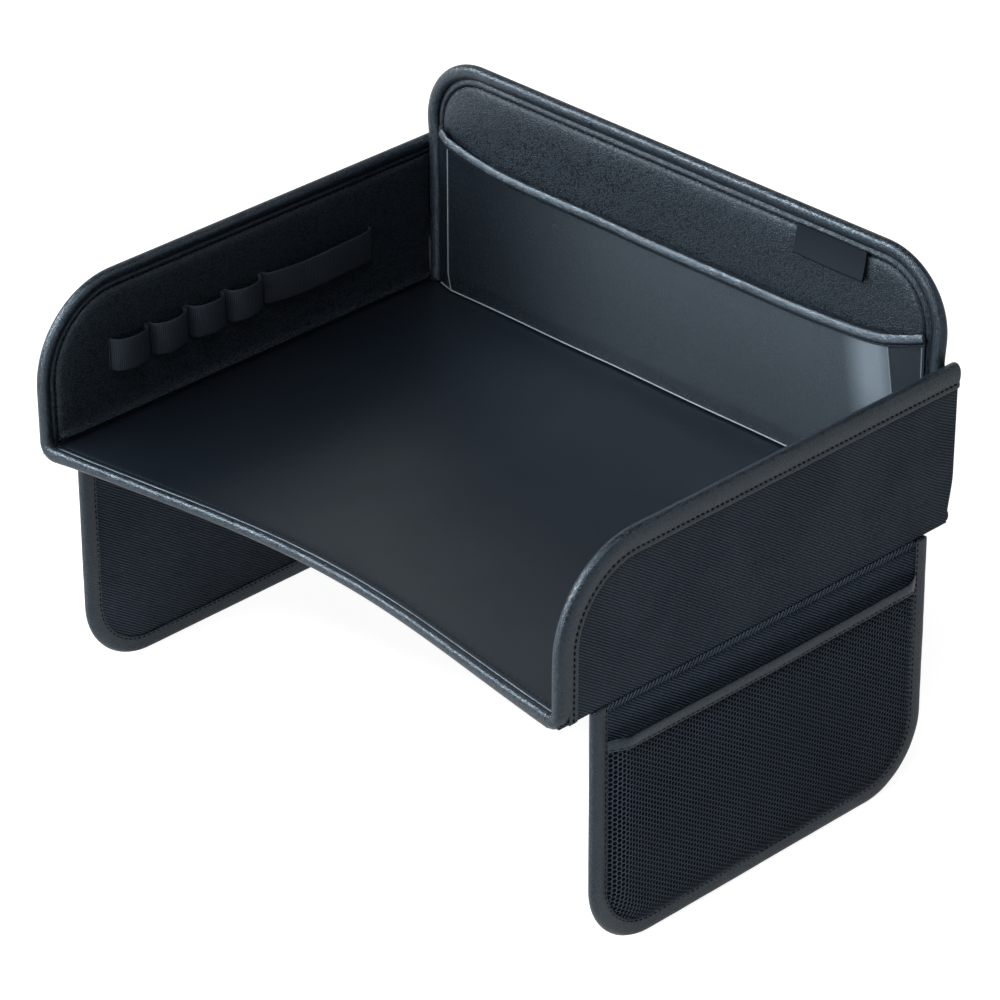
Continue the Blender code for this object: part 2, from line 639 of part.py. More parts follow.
def build_wing(side, name, materials):
    hinge = make_empty(name + "_wing_swing", (side * WING_X, 0, WING_HINGE_Z))
    place = wing_placer(side)
    plate(name + "_wing_board", wing_outline(BOUND_INSET + BOARD_SETBACK, BOARD_SETBACK),
          -WING_BOARD / 2, WING_BOARD / 2, place, materials["board"], hinge)
    cover_low = WING_BOARD / 2 + CLEARANCE
    outline = wing_outline(BOUND_INSET, 0)
    plate(name + "_wing_outer_cover", outline, cover_low, WING_HALF_CORE, place, materials["woven"], hinge)
    plate(name + "_wing_inner_cover", outline, -WING_HALF_CORE, -cover_low, place, materials["woven"], hinge)
    profile = tape_profile(-WING_HALF_TAPE, WING_HALF_TAPE, WING_LEG, WING_LEG, TAPE_THICKNESS, TAPE_FOLD)
    swept_strip(name + "_wing_binding", profile, wing_edge, place, materials["binding"], hinge)
    build_wing_seam(name, hinge, place, materials)
    build_mesh_pocket(name, hinge, place, materials)


def build_wing_seam(name, hinge, place, materials):
    """Rolled seam along the wing's top, round about the hinge line so that the wing can swing."""
    lowest = math.asin(CLEARANCE / WING_HALF_TAPE)
    section = []
    for step in range(BEAD_STEPS + 1):
        angle = lowest + (math.pi - 2 * lowest) * step / BEAD_STEPS
        section.append((WING_HALF_TAPE * math.cos(angle), WING_HALF_TAPE * math.sin(angle)))
    ends = (WING_FRONT, WING_REAR)
    rings = [[place(u, height, w) for w, height in section] for u in ends]
    solid_from_rings(name + "_wing_top_seam", rings, materials["woven"], hinge)


def net_outline():
    """The net's outer edge: the wing's outline inside its binding, cut off at the pocket's top."""
    top = NET_TOP_DOWN + NET_TAPE_FOLD + CLEARANCE
    return wing_outline(NET_INSET, top)


def inside_with_margin(point, outline, margin):
    for index, start in enumerate(outline):
        along = (outline[(index + 1) % len(outline)] - start).normalized()
        offset = point - start
        if along.x * offset.y - along.y * offset.x < margin:
            return False
    return True


def net_holes(outline, top_margin):
    """Six-sided openings on a staggered grid, as many as fit inside the hem."""
    row_height = NET_PITCH * math.sqrt(3) / 2
    radius = (NET_PITCH - NET_BAR) / math.sqrt(3)
    low_u, high_u = min(p.x for p in outline), max(p.x for p in outline)
    low_v, high_v = min(p.y for p in outline), max(p.y for p in outline)
    top = high_v - top_margin - radius
    middle_u = (low_u + high_u) / 2
    rows = int((top - low_v) / row_height) + 1
    columns = int((high_u - low_u) / NET_PITCH) + 1
    holes = []
    for row in range(rows):
        shift = (row % 2) * NET_PITCH / 2
        for column in range(-columns, columns + 1):
            centre = Vector((middle_u + column * NET_PITCH + shift, top - row * row_height))
            corners = [centre + Vector((radius * math.sin(math.pi * k / 3), radius * math.cos(math.pi * k / 3)))
                       for k in range(6)]
            if all(inside_with_margin(corner, outline, NET_HEM) for corner in corners):
                holes.append(corners)
    return holes


def build_net(name, hinge, place, materials):
    """Flat net: the outline and its openings are filled together, then given their thickness."""
    outline = net_outline()
    shape = bmesh.new()
    for loop in [outline] + net_holes(outline, NET_TAPE_LEG):
        corners = [shape.verts.new(place(point.x, point.y, NET_BACK)) for point in loop]
        for index, corner in enumerate(corners):
            shape.edges.new((corner, corners[(index + 1) % len(corners)]))
    bmesh.ops.triangle_fill(shape, edges=shape.edges, use_beauty=True)
    grown = bmesh.ops.extrude_face_region(shape, geom=list(shape.faces))
    moved = [item for item in grown["geom"] if isinstance(item, bmesh.types.BMVert)]
    offset = place(0, 0, NET_THICKNESS)
    bmesh.ops.translate(shape, verts=moved, vec=offset)
    make_object(name + "_mesh_pocket_net", shape, materials["net"], hinge)


def build_mesh_pocket(name, hinge, place, materials):
    """Net held off the wing by its turned-in edge, open along its taped top."""
    build_net(name, hinge, place, materials)
    low = WING_HALF_CORE + CLEARANCE
    high = NET_BACK - CLEARANCE
    thick = NET_SIDE_THICKNESS
    profile = [(NET_INSET, low), (NET_INSET, high), (NET_INSET + thick, high), (NET_INSET + thick, low + thick),
               (NET_INSET + NET_FLANGE, low + thick), (NET_INSET + NET_FLANGE, low)]

    def side_path(inset):
        points = wing_outline(inset, NET_TOP_DOWN)
        return points[-1:] + points[:-1]

    swept_strip(name + "_mesh_pocket_side", profile, side_path, place, materials["net"], hinge)
    tape = tape_profile(NET_BACK - CLEARANCE - NET_TAPE_THICKNESS, NET_FRONT + CLEARANCE + NET_TAPE_THICKNESS,
                        NET_TAPE_LEG, NET_TAPE_LEG, NET_TAPE_THICKNESS, NET_TAPE_FOLD)

    def tape_path(inset):
        height = -NET_TOP_DOWN - inset
        end = NET_INSET + thick + CLEARANCE
        return [(WING_FRONT + end, height), (WING_REAR - end, height)]

    swept_strip(name + "_mesh_pocket_binding", tape, tape_path, place, materials["binding"], hinge)


def make_materials():
    return {
        "binding": make_material("Grained binding tape", (0.020, 0.024, 0.028), 0.42),
        "leather": make_material("Grained panel", (0.014, 0.017, 0.021), 0.55),
        "floor": make_material("Fine matt floor", (0.012, 0.014, 0.018), 0.60),
        "woven": make_material("Ribbed woven cloth", (0.010, 0.012, 0.015), 0.80),
        "board": make_material("Plastic stiffener", (0.30, 0.30, 0.31), 0.60),
        "elastic": make_material("Woven elastic", (0.016, 0.018, 0.022), 0.85),
        "film": make_material("Clear film", (0.10, 0.12, 0.14), 0.25, 0.4),
        "net": make_material("Net", (0.020, 0.023, 0.028), 0.80),
        "hook": make_material("Hook tape", (0.010, 0.010, 0.011), 0.90),
        "loop": make_material("Loop tape", (0.013, 0.013, 0.014), 0.95),
        "tag": make_material("Woven tag", (0.009, 0.010, 0.012), 0.75),
    }


def build_tray():
    clear_scene()
    materials = make_materials()
    build_floor(materials)
    back_hinge = build_back_wall(materials)
    for side, name in ((-1, "left"), (1, "right")):
        wall_hinge = build_side_wall(side, name, materials)
        build_corner_flap(side, name, wall_hinge, materials)
        build_loop_tape(side, name, back_hinge, materials)
        build_wing(side, name, materials)
        if side < 0:
            build_pen_loops(wall_hinge, materials)


build_tray()
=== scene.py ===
import math

import bmesh
import bpy
import numpy as np
from mathutils import Matrix, Vector


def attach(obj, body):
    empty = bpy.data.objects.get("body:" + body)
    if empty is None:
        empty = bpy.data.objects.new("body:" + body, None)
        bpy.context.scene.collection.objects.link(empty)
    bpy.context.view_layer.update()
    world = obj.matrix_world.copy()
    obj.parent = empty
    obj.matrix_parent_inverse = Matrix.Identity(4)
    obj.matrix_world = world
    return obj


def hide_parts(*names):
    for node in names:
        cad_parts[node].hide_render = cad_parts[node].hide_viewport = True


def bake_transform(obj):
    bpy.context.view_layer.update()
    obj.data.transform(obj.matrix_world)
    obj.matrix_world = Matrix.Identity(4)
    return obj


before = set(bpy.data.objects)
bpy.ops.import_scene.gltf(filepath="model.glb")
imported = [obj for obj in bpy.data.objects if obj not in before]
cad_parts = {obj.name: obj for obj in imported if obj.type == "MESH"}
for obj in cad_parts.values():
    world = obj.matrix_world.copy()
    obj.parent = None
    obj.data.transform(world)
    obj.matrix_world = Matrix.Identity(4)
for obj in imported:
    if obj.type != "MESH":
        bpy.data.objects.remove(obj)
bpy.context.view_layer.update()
print("frame loaded")

mm = 0.001  # lengths below are in mm, and placing a point turns it into metres
tray = {"width": 420, "depth": 314, "sideHeight": 100.8, "sideCorner": 59, "lean": 0.5,
        "backHeight": 160.6, "backCorner": 45, "backFoot": 6.0, "rearFace": 153.5,
        "floorHalf": 204.1, "frontSag": 22.5, "padLow": 2.9, "crown": 5.6}
wing = {"x": 208.5, "hinge": -3.0, "front": -130, "rear": 136.8, "length": 156.1, "corner": 45, "above": 3.4}


def smoothStep(share):
    # s squared times (3 - 2 s), level at both ends
    return share ** 2 * (3 - 2 * share)


def domed(distance, reach, least):
    # a quarter circle's rise from the least value to 1 over the reach
    return np.sqrt(np.clip(1 - (1 - np.clip(distance / reach, 0, 1)) ** 2, least, 1))


def circle(count):
    # evenly spaced angles, once round
    return np.linspace(0, 2 * np.pi, count + 1)[:-1]


def paired(a, b):
    # two arrays spread to one shape and stacked as pairs
    return np.stack(np.broadcast_arrays(a, b), -1)


def unit(vectors):
    # each row divided by its length
    return vectors / np.linalg.norm(vectors, axis=1)[:, None]


def runOf(line):
    # distance run up to each point: the sum of the straight steps before it
    return np.concatenate([[0], np.cumsum(np.linalg.norm(np.diff(line, axis=0), axis=1))])


def valuesAt(line, run, at):
    # both columns of a line, interpolated straight between its points
    return np.stack([np.interp(at, run, line[:, k]) for k in (0, 1)], 1)


def normalsOf(path):
    # unit tangents of an open line, turned a quarter turn to the left
    tangent = unit(np.gradient(path, axis=0))
    return np.stack([-tangent[:, 1], tangent[:, 0]], 1)


def rotated(vector, angle):
    # (x cos - y sin, x sin + y cos) for each angle in an array
    c, s = np.cos(angle), np.sin(angle)
    return np.stack([vector[0] * c - vector[1] * s, vector[0] * s + vector[1] * c], -1)


def outline(corners, radii, insets, straight=120, arc=30):
    # closed outline, counter-clockwise: side i (corner i to i + 1) moves in by its inset, corners are arcs
    corner = np.array(corners, float)
    along = unit(np.roll(corner, -1, 0) - corner)
    inward = np.stack([-along[:, 1], along[:, 0]], 1)
    start = corner + inward * np.array(insets, float)[:, None]
    arcs = []
    for i, radius in enumerate(radii):
        cross = along[i - 1, 0] * along[i, 1] - along[i - 1, 1] * along[i, 0]
        gap = start[i] - start[i - 1]
        meet = start[i - 1] + along[i - 1] * (gap[0] * along[i, 1] - gap[1] * along[i, 0]) / cross
        if radius == 0:
            arcs.append(meet[None])
            continue
        turn = math.atan2(cross, along[i - 1] @ along[i])
        inner = max(radius - (insets[i - 1] + insets[i]) / 2, 0.3)
        centre = meet - along[i - 1] * inner * math.tan(turn / 2) + inward[i - 1] * inner
        arcs.append(centre + rotated(-inward[i - 1] * inner, np.linspace(0, turn, arc + 1)))
    share = np.linspace(0, 1, straight + 2)[1:-1, None]
    parts = []
    for i, points in enumerate(arcs):
        following = arcs[(i + 1) % len(arcs)][0]
        parts += [points, points[-1] * (1 - share) + following * share]
    return np.concatenate(parts)


def edgeOf(line, spacing=2.0):
    # evenly spaced points and inward normals along an open line of points
    run = runOf(line)
    path = valuesAt(line, run, np.linspace(0, run[-1], max(int(run[-1] / spacing), 2) + 1))
    return path, normalsOf(path)


def frontCurve(x, inset=0.0):
    # hollow front edge: half of it is an arc, half a cosine; inset moves it in square to itself
    across = np.clip(x / tray["floorHalf"], -1, 1)
    rise = (1 - across ** 2) / 2 + (1 + np.cos(np.pi * across)) / 4
    slope = -tray["frontSag"] / tray["floorHalf"] * (across + np.sin(np.pi * across) * np.pi / 4)
    return -tray["depth"] / 2 + tray["frontSag"] * rise + inset * np.sqrt(1 + slope ** 2), slope


def sideOutline(bound, free):
    # a rectangle with a round front top corner; its bound edges are the front and the top
    f, r, h = -tray["depth"] / 2, tray["rearFace"], tray["sideHeight"]
    return outline([(f, 0), (r, 0), (r, h), (f, h)], [0, 0, 0, tray["sideCorner"]],
                   [free, free, bound, bound])


def backOutline(bound, free):
    # a rectangle with two round top corners, free only along its foot
    w, h = tray["floorHalf"], tray["backHeight"] - tray["backFoot"]
    return outline([(-w, 0), (w, 0), (w, h), (-w, h)], [0, 0, tray["backCorner"], tray["backCorner"]],
                   [free, bound, bound, bound])


def wingOutline(bound, free):
    # a rectangle with two round bottom corners, free only along its top
    f, r, d = wing["front"], wing["rear"], -wing["length"]
    return outline([(f, d), (r, d), (r, 0), (f, 0)], [wing["corner"], wing["corner"], 0, 0],
                   [bound, bound, free, bound])


def floorOutline(bound, free):
    # the front curve, a straight side, the rear edge and the other side
    half, rear = tray["floorHalf"] - free, tray["rearFace"] - free
    x = np.linspace(-half, half, 210)
    y = np.linspace(frontCurve(np.array([half]), bound)[0][0], rear, 130)[1:]
    side = np.stack([np.full(len(y), half), y], 1)
    back = np.stack([np.linspace(half, -half, 160)[1:-1], np.full(158, rear)], 1)
    return np.concatenate([np.stack([x, frontCurve(x, bound)[0]], 1), side, back, side[::-1] * [-1, 1]])


def cornerDistance(fromSide, fromTop, radius):
    # the smaller distance in from two edges; inside their round corner, the radius less that to its centre
    near = (fromSide < radius) & (fromTop < radius)
    return np.where(near, radius - np.hypot(radius - fromSide, radius - fromTop),
                    np.minimum(fromSide, fromTop))


def placeSide(side):
    # u runs along y, v up the wall and w in from its outer face, leaning out by the wall's angle
    c, s = math.cos(math.radians(tray["lean"])), math.sin(math.radians(tray["lean"]))
    return lambda u, v, w: np.stack([side * (tray["width"] / 2 - w * c + v * s), u + 0 * w, w * s + v * c],
                                    -1)


def placeBack(u, v, w):
    # u runs along x, v up the wall and w forward from its rear face
    return np.stack([u + 0 * w, tray["rearFace"] - w, tray["backFoot"] + v + 0 * w], -1)


def placeFloor(u, v, w):
    # u, v and w are x, y and z
    return np.stack([u + 0 * w, v + 0 * w, w + 0 * u], -1)


def placeWing(side):
    # u runs along y, v up from the hinge and w out from the wing's middle
    return lambda u, v, w: np.stack([side * (wing["x"] + w), u + 0 * w, wing["hinge"] + v + 0 * w], -1)


def makePiece(name, points, faces, material, uv=None, sharp=40, mark=None):
    # a mesh piece from arrays of points in mm and faces; uv is in mm, and one unit of its map is 100 mm
    mesh = bpy.data.meshes.new(name)
    mesh.from_pydata((np.asarray(points) * mm).tolist(), [], [list(f) for f in faces])
    if uv is not None:
        layer = mesh.uv_layers.new(name="cloth")
        index = np.zeros(len(mesh.loops), int)
        mesh.loops.foreach_get("vertex_index", index)
        layer.data.foreach_set("uv", (np.asarray(uv)[index] * mm * 10).astype(np.float32).ravel())
    if mark is not None:
        layer = mesh.attributes.new("mark", "FLOAT", "POINT")
        layer.data.foreach_set("value", np.asarray(mark, np.float32).ravel())
    shape = bmesh.new()
    shape.from_mesh(mesh)
    bmesh.ops.remove_doubles(shape, verts=shape.verts, dist=1e-7)
    bmesh.ops.recalc_face_normals(shape, faces=shape.faces)
    shape.to_mesh(mesh)
    shape.free()
    mesh.shade_smooth()
    mesh.set_sharp_from_angle(angle=math.radians(sharp))
    mesh.materials.append(material)
    piece = bpy.data.objects.new(name, mesh)
    bpy.context.scene.collection.objects.link(piece)
    return piece


def gridFaces(rows, columns, wrap):
    # quads between neighbouring rows of a grid of points, closing each row on itself if wrap
    r, c = np.meshgrid(np.arange(rows - 1), np.arange(columns if wrap else columns - 1), indexing="ij")
    after = (c + 1) % columns
    quads = np.stack([r * columns + c, r * columns + after, (r + 1) * columns + after, (r + 1) * columns + c],
                     -1)
    return quads.reshape(-1, 4).tolist()


def sheetSolid(name, front, back, material, uv, sharp=60, mark=None):
    # a thin closed sheet: a front and a back grid of points, joined round their rim
    n, m = front.shape[:2]
    count = n * m
    grid = np.array(gridFaces(n, m, False))
    index = np.arange(count).reshape(n, m)
    rim = np.concatenate([index[0], index[1:, -1], index[-1, -2::-1], index[-2:0:-1, 0]])
    after = np.roll(rim, -1)
    faces = np.concatenate([grid, grid[:, ::-1] + count,
                            np.stack([rim, after, after + count, rim + count], 1)])
    points = np.concatenate([front.reshape(-1, 3), back.reshape(-1, 3)])
    both = None if mark is None else np.tile(np.ravel(mark), 2)
    return makePiece(name, points, faces.tolist(), material, np.tile(uv.reshape(-1, 2), (2, 1)), sharp, both)


def tubeSolid(name, grid, material, uv, sharp=60):
    # a grid of points whose rows are closed rings, with a flat cap at each end
    n, m = grid.shape[:2]
    faces = gridFaces(n, m, True) + [tuple(range(m)), tuple(range((n - 1) * m, n * m))]
    return makePiece(name, grid.reshape(-1, 3), faces, material, uv.reshape(-1, 2), sharp)


def panelSolid(name, outlineAt, insets, levelAt, backLevel, place, material, markAt=None, inner=16):
    # rings in from the edge by insets, then shrinking to a centre point; w = levelAt(u, v); flat back
    rings = [outlineAt(bound, free) for bound, free in insets]
    last = rings[-1]
    middle = (last.min(0) + last.max(0)) / 2
    rings += [middle + (last - middle) * s for s in np.linspace(1, 0, inner + 1)[1:-1]]
    flat = np.concatenate(rings + [middle[None]])
    front = place(flat[:, 0], flat[:, 1], levelAt(flat[:, 0], flat[:, 1]))
    first = rings[0]
    back = place(first[:, 0], first[:, 1], np.full(len(first), float(backLevel)))
    n, count = len(first), len(flat)
    faces = gridFaces(len(rings), n, True)
    faces += [(count - 1, (len(rings) - 1) * n + i, (len(rings) - 1) * n + (i + 1) % n) for i in range(n)]
    faces += [(i, (i + 1) % n, count + (i + 1) % n, count + i)
              for i in range(n)] + [tuple(range(count, count + n))]
    mark = None if markAt is None else markAt(*np.concatenate([flat, first]).T)
    return makePiece(name, np.concatenate([front, back]), faces, material, np.concatenate([flat, first]),
                     mark=mark)


# a roll's slow unevenness: sines of these sizes and turns per mm; its flange starts past these insets
roll = {"waves": ((1, 0.05), (0.7, 0.11), (0.5, 0.23), (0.4, 0.41)), "flangeAt": 8.6, "over": 1.5,
        "sunk": 0.95}


def sweptSolid(name, path, inward, profile, place, wobble, seed, dome, fade=None, sink=(8.8, 0.4)):
    # closed profile of (inset, level) carried along an edge, its ends drawn in to round caps;
    # where fade is 1, the roll sinks away and only the flange goes on
    profile = rounded(profile)
    count, m = len(path), len(profile)
    length = runOf(path)
    d = np.repeat(profile[None, :, 0], count, 0)
    w = np.repeat(profile[None, :, 1], count, 0)
    phase = np.random.default_rng(seed).random(4) * 6
    wave = sum(a * np.sin(length * f + p) for (a, f), p in zip(roll["waves"], phase))
    w = w + wobble * wave[:, None] * ((w - w.mean()) / np.ptp(w) * 1.5 + 0.3 * np.sin(circle(m)))
    if fade is not None:
        share = fade[:, None] * np.clip((roll["flangeAt"] - d) / roll["over"], 0, 1) * roll["sunk"]
        d, w = d + (sink[0] - d) * share, w + (sink[1] - w) * share
    pull = domed(np.minimum(length, length[-1] - length), dome, 0.02)[:, None]
    middle = d.mean(1)[:, None], w.mean(1)[:, None]
    d, w = middle[0] + (d - middle[0]) * pull, middle[1] + (w - middle[1]) * pull
    flat = path[:, None, :] + inward[:, None, :] * d[..., None]
    uv = paired(length[:, None], runOf(profile)[None])
    return tubeSolid(name, place(flat[..., 0], flat[..., 1], w), materials["rollLeather"], uv, 50)


def endPadded(path, inward, ends=(0.15, 0.4, 0.8, 1.3)):
    # extra points close to both ends of an edge, so that a domed end is round
    a, b = unit(np.stack([path[1] - path[0], path[-2] - path[-1]]))
    out = [path[0]] + [path[0] + a * e for e in ends] + list(path[1:-1]) + [path[-1] + b * e
                                                                            for e in ends[::-1]]
    nor = [inward[0]] * (len(ends) + 1) + list(inward[1:-1]) + [inward[-1]] * (len(ends) + 1)
    return np.array(out + [path[-1]]), np.array(nor)


def rounded(profile, times=2):
    # closed outline with its corners cut (Chaikin): each pass puts points at 1/4 and 3/4 of every side
    p = np.asarray(profile, float)
    for _ in range(times):
        following = np.roll(p, -1, 0)
        p = np.stack([p * 0.75 + following * 0.25, p * 0.25 + following * 0.75], 1).reshape(-1, 2)
    return p


def newGroup(name, inputs, outputs):
    # a node group with float inputs at their first values, and float outputs
    group = bpy.data.node_groups.new(name, "ShaderNodeTree")
    for label, value in inputs:
        group.interface.new_socket(name=label, in_out="INPUT",
                                   socket_type="NodeSocketFloat").default_value = value
    for label in outputs:
        group.interface.new_socket(name=label, in_out="OUTPUT", socket_type="NodeSocketFloat")
    return group, group.nodes.new("NodeGroupInput"), group.nodes.new("NodeGroupOutput")


def mathNode(tree, operation, a, b=None, c=None, clamp=False):
    # one operation on up to three numbers or sockets
    node = tree.nodes.new("ShaderNodeMath")
    node.operation = operation
    node.use_clamp = clamp
    for slot, value in enumerate((a, b, c)):
        if isinstance(value, (int, float)):
            node.inputs[slot].default_value = value
        elif value is not None:
            tree.links.new(value, node.inputs[slot])
    return node.outputs[0]


def textureNode(tree, kind, vector, **values):
    # a texture read at the vector, its inputs set or linked by name
    node = tree.nodes.new(kind)
    for key, value in values.items():
        if key == "feature":
            node.feature = value
        elif isinstance(value, (int, float)):
            node.inputs[key].default_value = value
        else:
            tree.links.new(value, node.inputs[key])
    tree.links.new(vector, node.inputs["Vector"])
    return node


def rangeNode(tree, value, low, high, toLow=0.0, toHigh=1.0, smooth=True):
    # the value's share of the way from low to high, smoothed if asked, set out from toLow to toHigh
    node = tree.nodes.new("ShaderNodeMapRange")
    node.interpolation_type = "SMOOTHSTEP" if smooth else "LINEAR"
    tree.links.new(value, node.inputs["Value"])
    for key, number in (("From Min", low), ("From Max", high), ("To Min", toLow), ("To Max", toHigh)):
        node.inputs[key].default_value = number
    return node.outputs["Result"]


def scaledVector(tree, vector, factors, add=None):
    # the vector times the factors, plus another vector if one is given
    node = tree.nodes.new("ShaderNodeVectorMath")
    node.operation = "MULTIPLY_ADD" if add else "MULTIPLY"
    tree.links.new(vector, node.inputs[0])
    node.inputs[1].default_value = factors
    if add:
        tree.links.new(add, node.inputs[2])
    return node.outputs[0]


def cloudMask(group, place, scale, leave):
    # broad patches: smooth noise, stretched from its middle values to the whole of 0 to 1
    cloud = textureNode(group, "ShaderNodeTexNoise", place, Scale=scale, Detail=3.0)
    group.links.new(rangeNode(group, cloud.outputs[0], 0.3, 0.7), leave.inputs["Cloud"])


def grainGroup(name, alongCloth):
    # leather: rounded cells between creases, broken up by a warp, with fine pores over them; alongCloth
    # reads the piece's own map, with the cells squeezed along it as on leather turned round a cord
    group, enter, leave = newGroup(name, [("Scale", 900.0), ("Pores", 0.25)], ("Height", "Crease", "Cloud"))
    place = group.nodes.new("ShaderNodeTexCoord").outputs["Object"]
    spread = place
    if alongCloth:
        uv = group.nodes.new("ShaderNodeUVMap")
        uv.uv_map = "cloth"
        spread = scaledVector(group, uv.outputs[0], (0.087, 0.056, 0.1))
    warp = textureNode(group, "ShaderNodeTexNoise", place, Scale=420.0, Detail=2.0)
    shifted = scaledVector(group, warp.outputs["Color"], (0.0013,) * 3, spread)
    cells = textureNode(group, "ShaderNodeTexVoronoi", shifted, feature="DISTANCE_TO_EDGE",
                        Scale=enter.outputs["Scale"])
    dome = rangeNode(group, cells.outputs["Distance"], 0.0, 0.40)
    pores = textureNode(group, "ShaderNodeTexNoise", place, Scale=2600.0, Detail=2.0)
    fine = mathNode(group, "MULTIPLY", pores.outputs[0], enter.outputs["Pores"])
    group.links.new(mathNode(group, "ADD", dome, fine), leave.inputs["Height"])
    # crease mask: 1 in the creases between cells, where the material paints shade
    group.links.new(rangeNode(group, cells.outputs["Distance"], 0.0, 0.30, 1.0, 0.0), leave.inputs["Crease"])
    cloudMask(group, place, 14.0, leave)
    return group


def waveOf(group, angle):
    # half of (1 + sine), from 0 to 1
    return mathNode(group, "MULTIPLY_ADD", mathNode(group, "SINE", angle), 0.5, 0.5)


def weaveGroup():
    # woven ribs: a rounded wave across the ribs and short threads along them, on the piece's cloth map
    group, enter, leave = newGroup("ribWeave", [("Pitch", 2.0), ("Angle", 0.0), ("Threads", 0.35)],
                                   ("Height", "Valley", "Cloud"))
    uv = group.nodes.new("ShaderNodeUVMap")
    uv.uv_map = "cloth"
    turn = group.nodes.new("ShaderNodeVectorRotate")
    turn.rotation_type = "Z_AXIS"
    group.links.new(uv.outputs[0], turn.inputs["Vector"])
    group.links.new(enter.outputs["Angle"], turn.inputs["Angle"])
    split = group.nodes.new("ShaderNodeSeparateXYZ")
    group.links.new(turn.outputs[0], split.inputs[0])
    perUnit = mathNode(group, "DIVIDE", 100 * 2 * math.pi, enter.outputs["Pitch"])
    across = mathNode(group, "MULTIPLY", split.outputs["Y"], perUnit)
    wave = waveOf(group, across)
    along = mathNode(group, "MULTIPLY", split.outputs["X"], mathNode(group, "MULTIPLY", perUnit, 1.35))
    thread = waveOf(group, mathNode(group, "ADD", along, mathNode(group, "MULTIPLY", across, 0.5)))
    body = mathNode(group, "POWER", wave, 0.8)
    sunk = mathNode(group, "SUBTRACT", 1.0, mathNode(group, "MULTIPLY", thread, enter.outputs["Threads"]))
    mixed = mathNode(group, "MULTIPLY", body, sunk)
    place = group.nodes.new("ShaderNodeTexCoord").outputs["Object"]
    slub = textureNode(group, "ShaderNodeTexNoise", place, Scale=700.0, Detail=1.0)
    rough = mathNode(group, "MULTIPLY_ADD", slub.outputs[0], 0.3, mathNode(group, "SUBTRACT", mixed, 0.15))
    group.links.new(rough, leave.inputs["Height"])
    # valley mask: 1 between the ribs, where the material paints shade
    group.links.new(rangeNode(group, rough, 0.15, 0.8, 1.0, 0.0), leave.inputs["Valley"])
    cloudMask(group, place, 22.0, leave)
    return group


def blendColour(tree, first, second, share):
    # from the first colour or socket to the second colour by the share
    node = tree.nodes.new("ShaderNodeMix")
    node.data_type = "RGBA"
    if isinstance(first, tuple):
        node.inputs["A"].default_value = (*first, 1)
    else:
        tree.links.new(first, node.inputs["A"])
    node.inputs["B"].default_value = (*second, 1)
    tree.links.new(share, node.inputs["Factor"])
    return node.outputs["Result"]


def finishMaterial(name, group, values, look):
    # one material: its group's height drives a bump, and its masks blend two tones and two roughnesses; the
    # crease or valley mask blends painted shade into the grain's creases and the weave's valleys, the cloud
    # mask a patchy tone
    look = {"creaseShadeShare": 0.6, "cloudShare": 0.25, **look}
    material = bpy.data.materials.new(name)
    material.use_nodes = True
    tree = material.node_tree
    shader = tree.nodes["Principled BSDF"]
    pattern = tree.nodes.new("ShaderNodeGroup")
    pattern.node_tree = group
    for key, value in values.items():
        pattern.inputs[key].default_value = value
    creaseShade = pattern.outputs["Crease" if "Crease" in pattern.outputs else "Valley"]
    share = mathNode(tree, "MULTIPLY", creaseShade, look["creaseShadeShare"])
    cloudy = mathNode(tree, "MULTIPLY", pattern.outputs["Cloud"], look["cloudShare"])
    share = mathNode(tree, "ADD", share, cloudy, clamp=True)
    colour = blendColour(tree, look["colour"], look["deep"], share)
    # the mark's tone is painted light: a painted sheen and reflection on the film, painted shade on the wing
    # cloth behind the net
    if "paintedLightTone" in look:  # where the piece's own mark is 1, the tone is this one
        mark = tree.nodes.new("ShaderNodeAttribute")
        mark.attribute_name = "mark"
        colour = blendColour(tree, colour, look["paintedLightTone"], mark.outputs["Fac"])
    # where the film's painted sheen is strongest, the film is also less clear
    if "clear" in look:
        clear = rangeNode(tree, mark.outputs["Fac"], 0.0, 1.0, *look["clear"], smooth=False)
        tree.links.new(clear, shader.inputs["Alpha"])
    tree.links.new(colour, shader.inputs["Base Color"])
    rough = rangeNode(tree, pattern.outputs["Cloud"], 0.0, 1.0, *look["rough"], smooth=False)
    tree.links.new(rough, shader.inputs["Roughness"])
    bump = tree.nodes.new("ShaderNodeBump")
    bump.inputs["Strength"].default_value = look["bump"]
    bump.inputs["Distance"].default_value = look["bumpDepth"] * mm
    tree.links.new(pattern.outputs["Height"], bump.inputs["Height"])
    tree.links.new(bump.outputs[0], shader.inputs["Normal"])
    shader.inputs["Specular IOR Level"].default_value = look["specular"]
    shader.inputs["Specular Tint"].default_value = (0.66, 0.84, 1.0, 1.0)
    return material


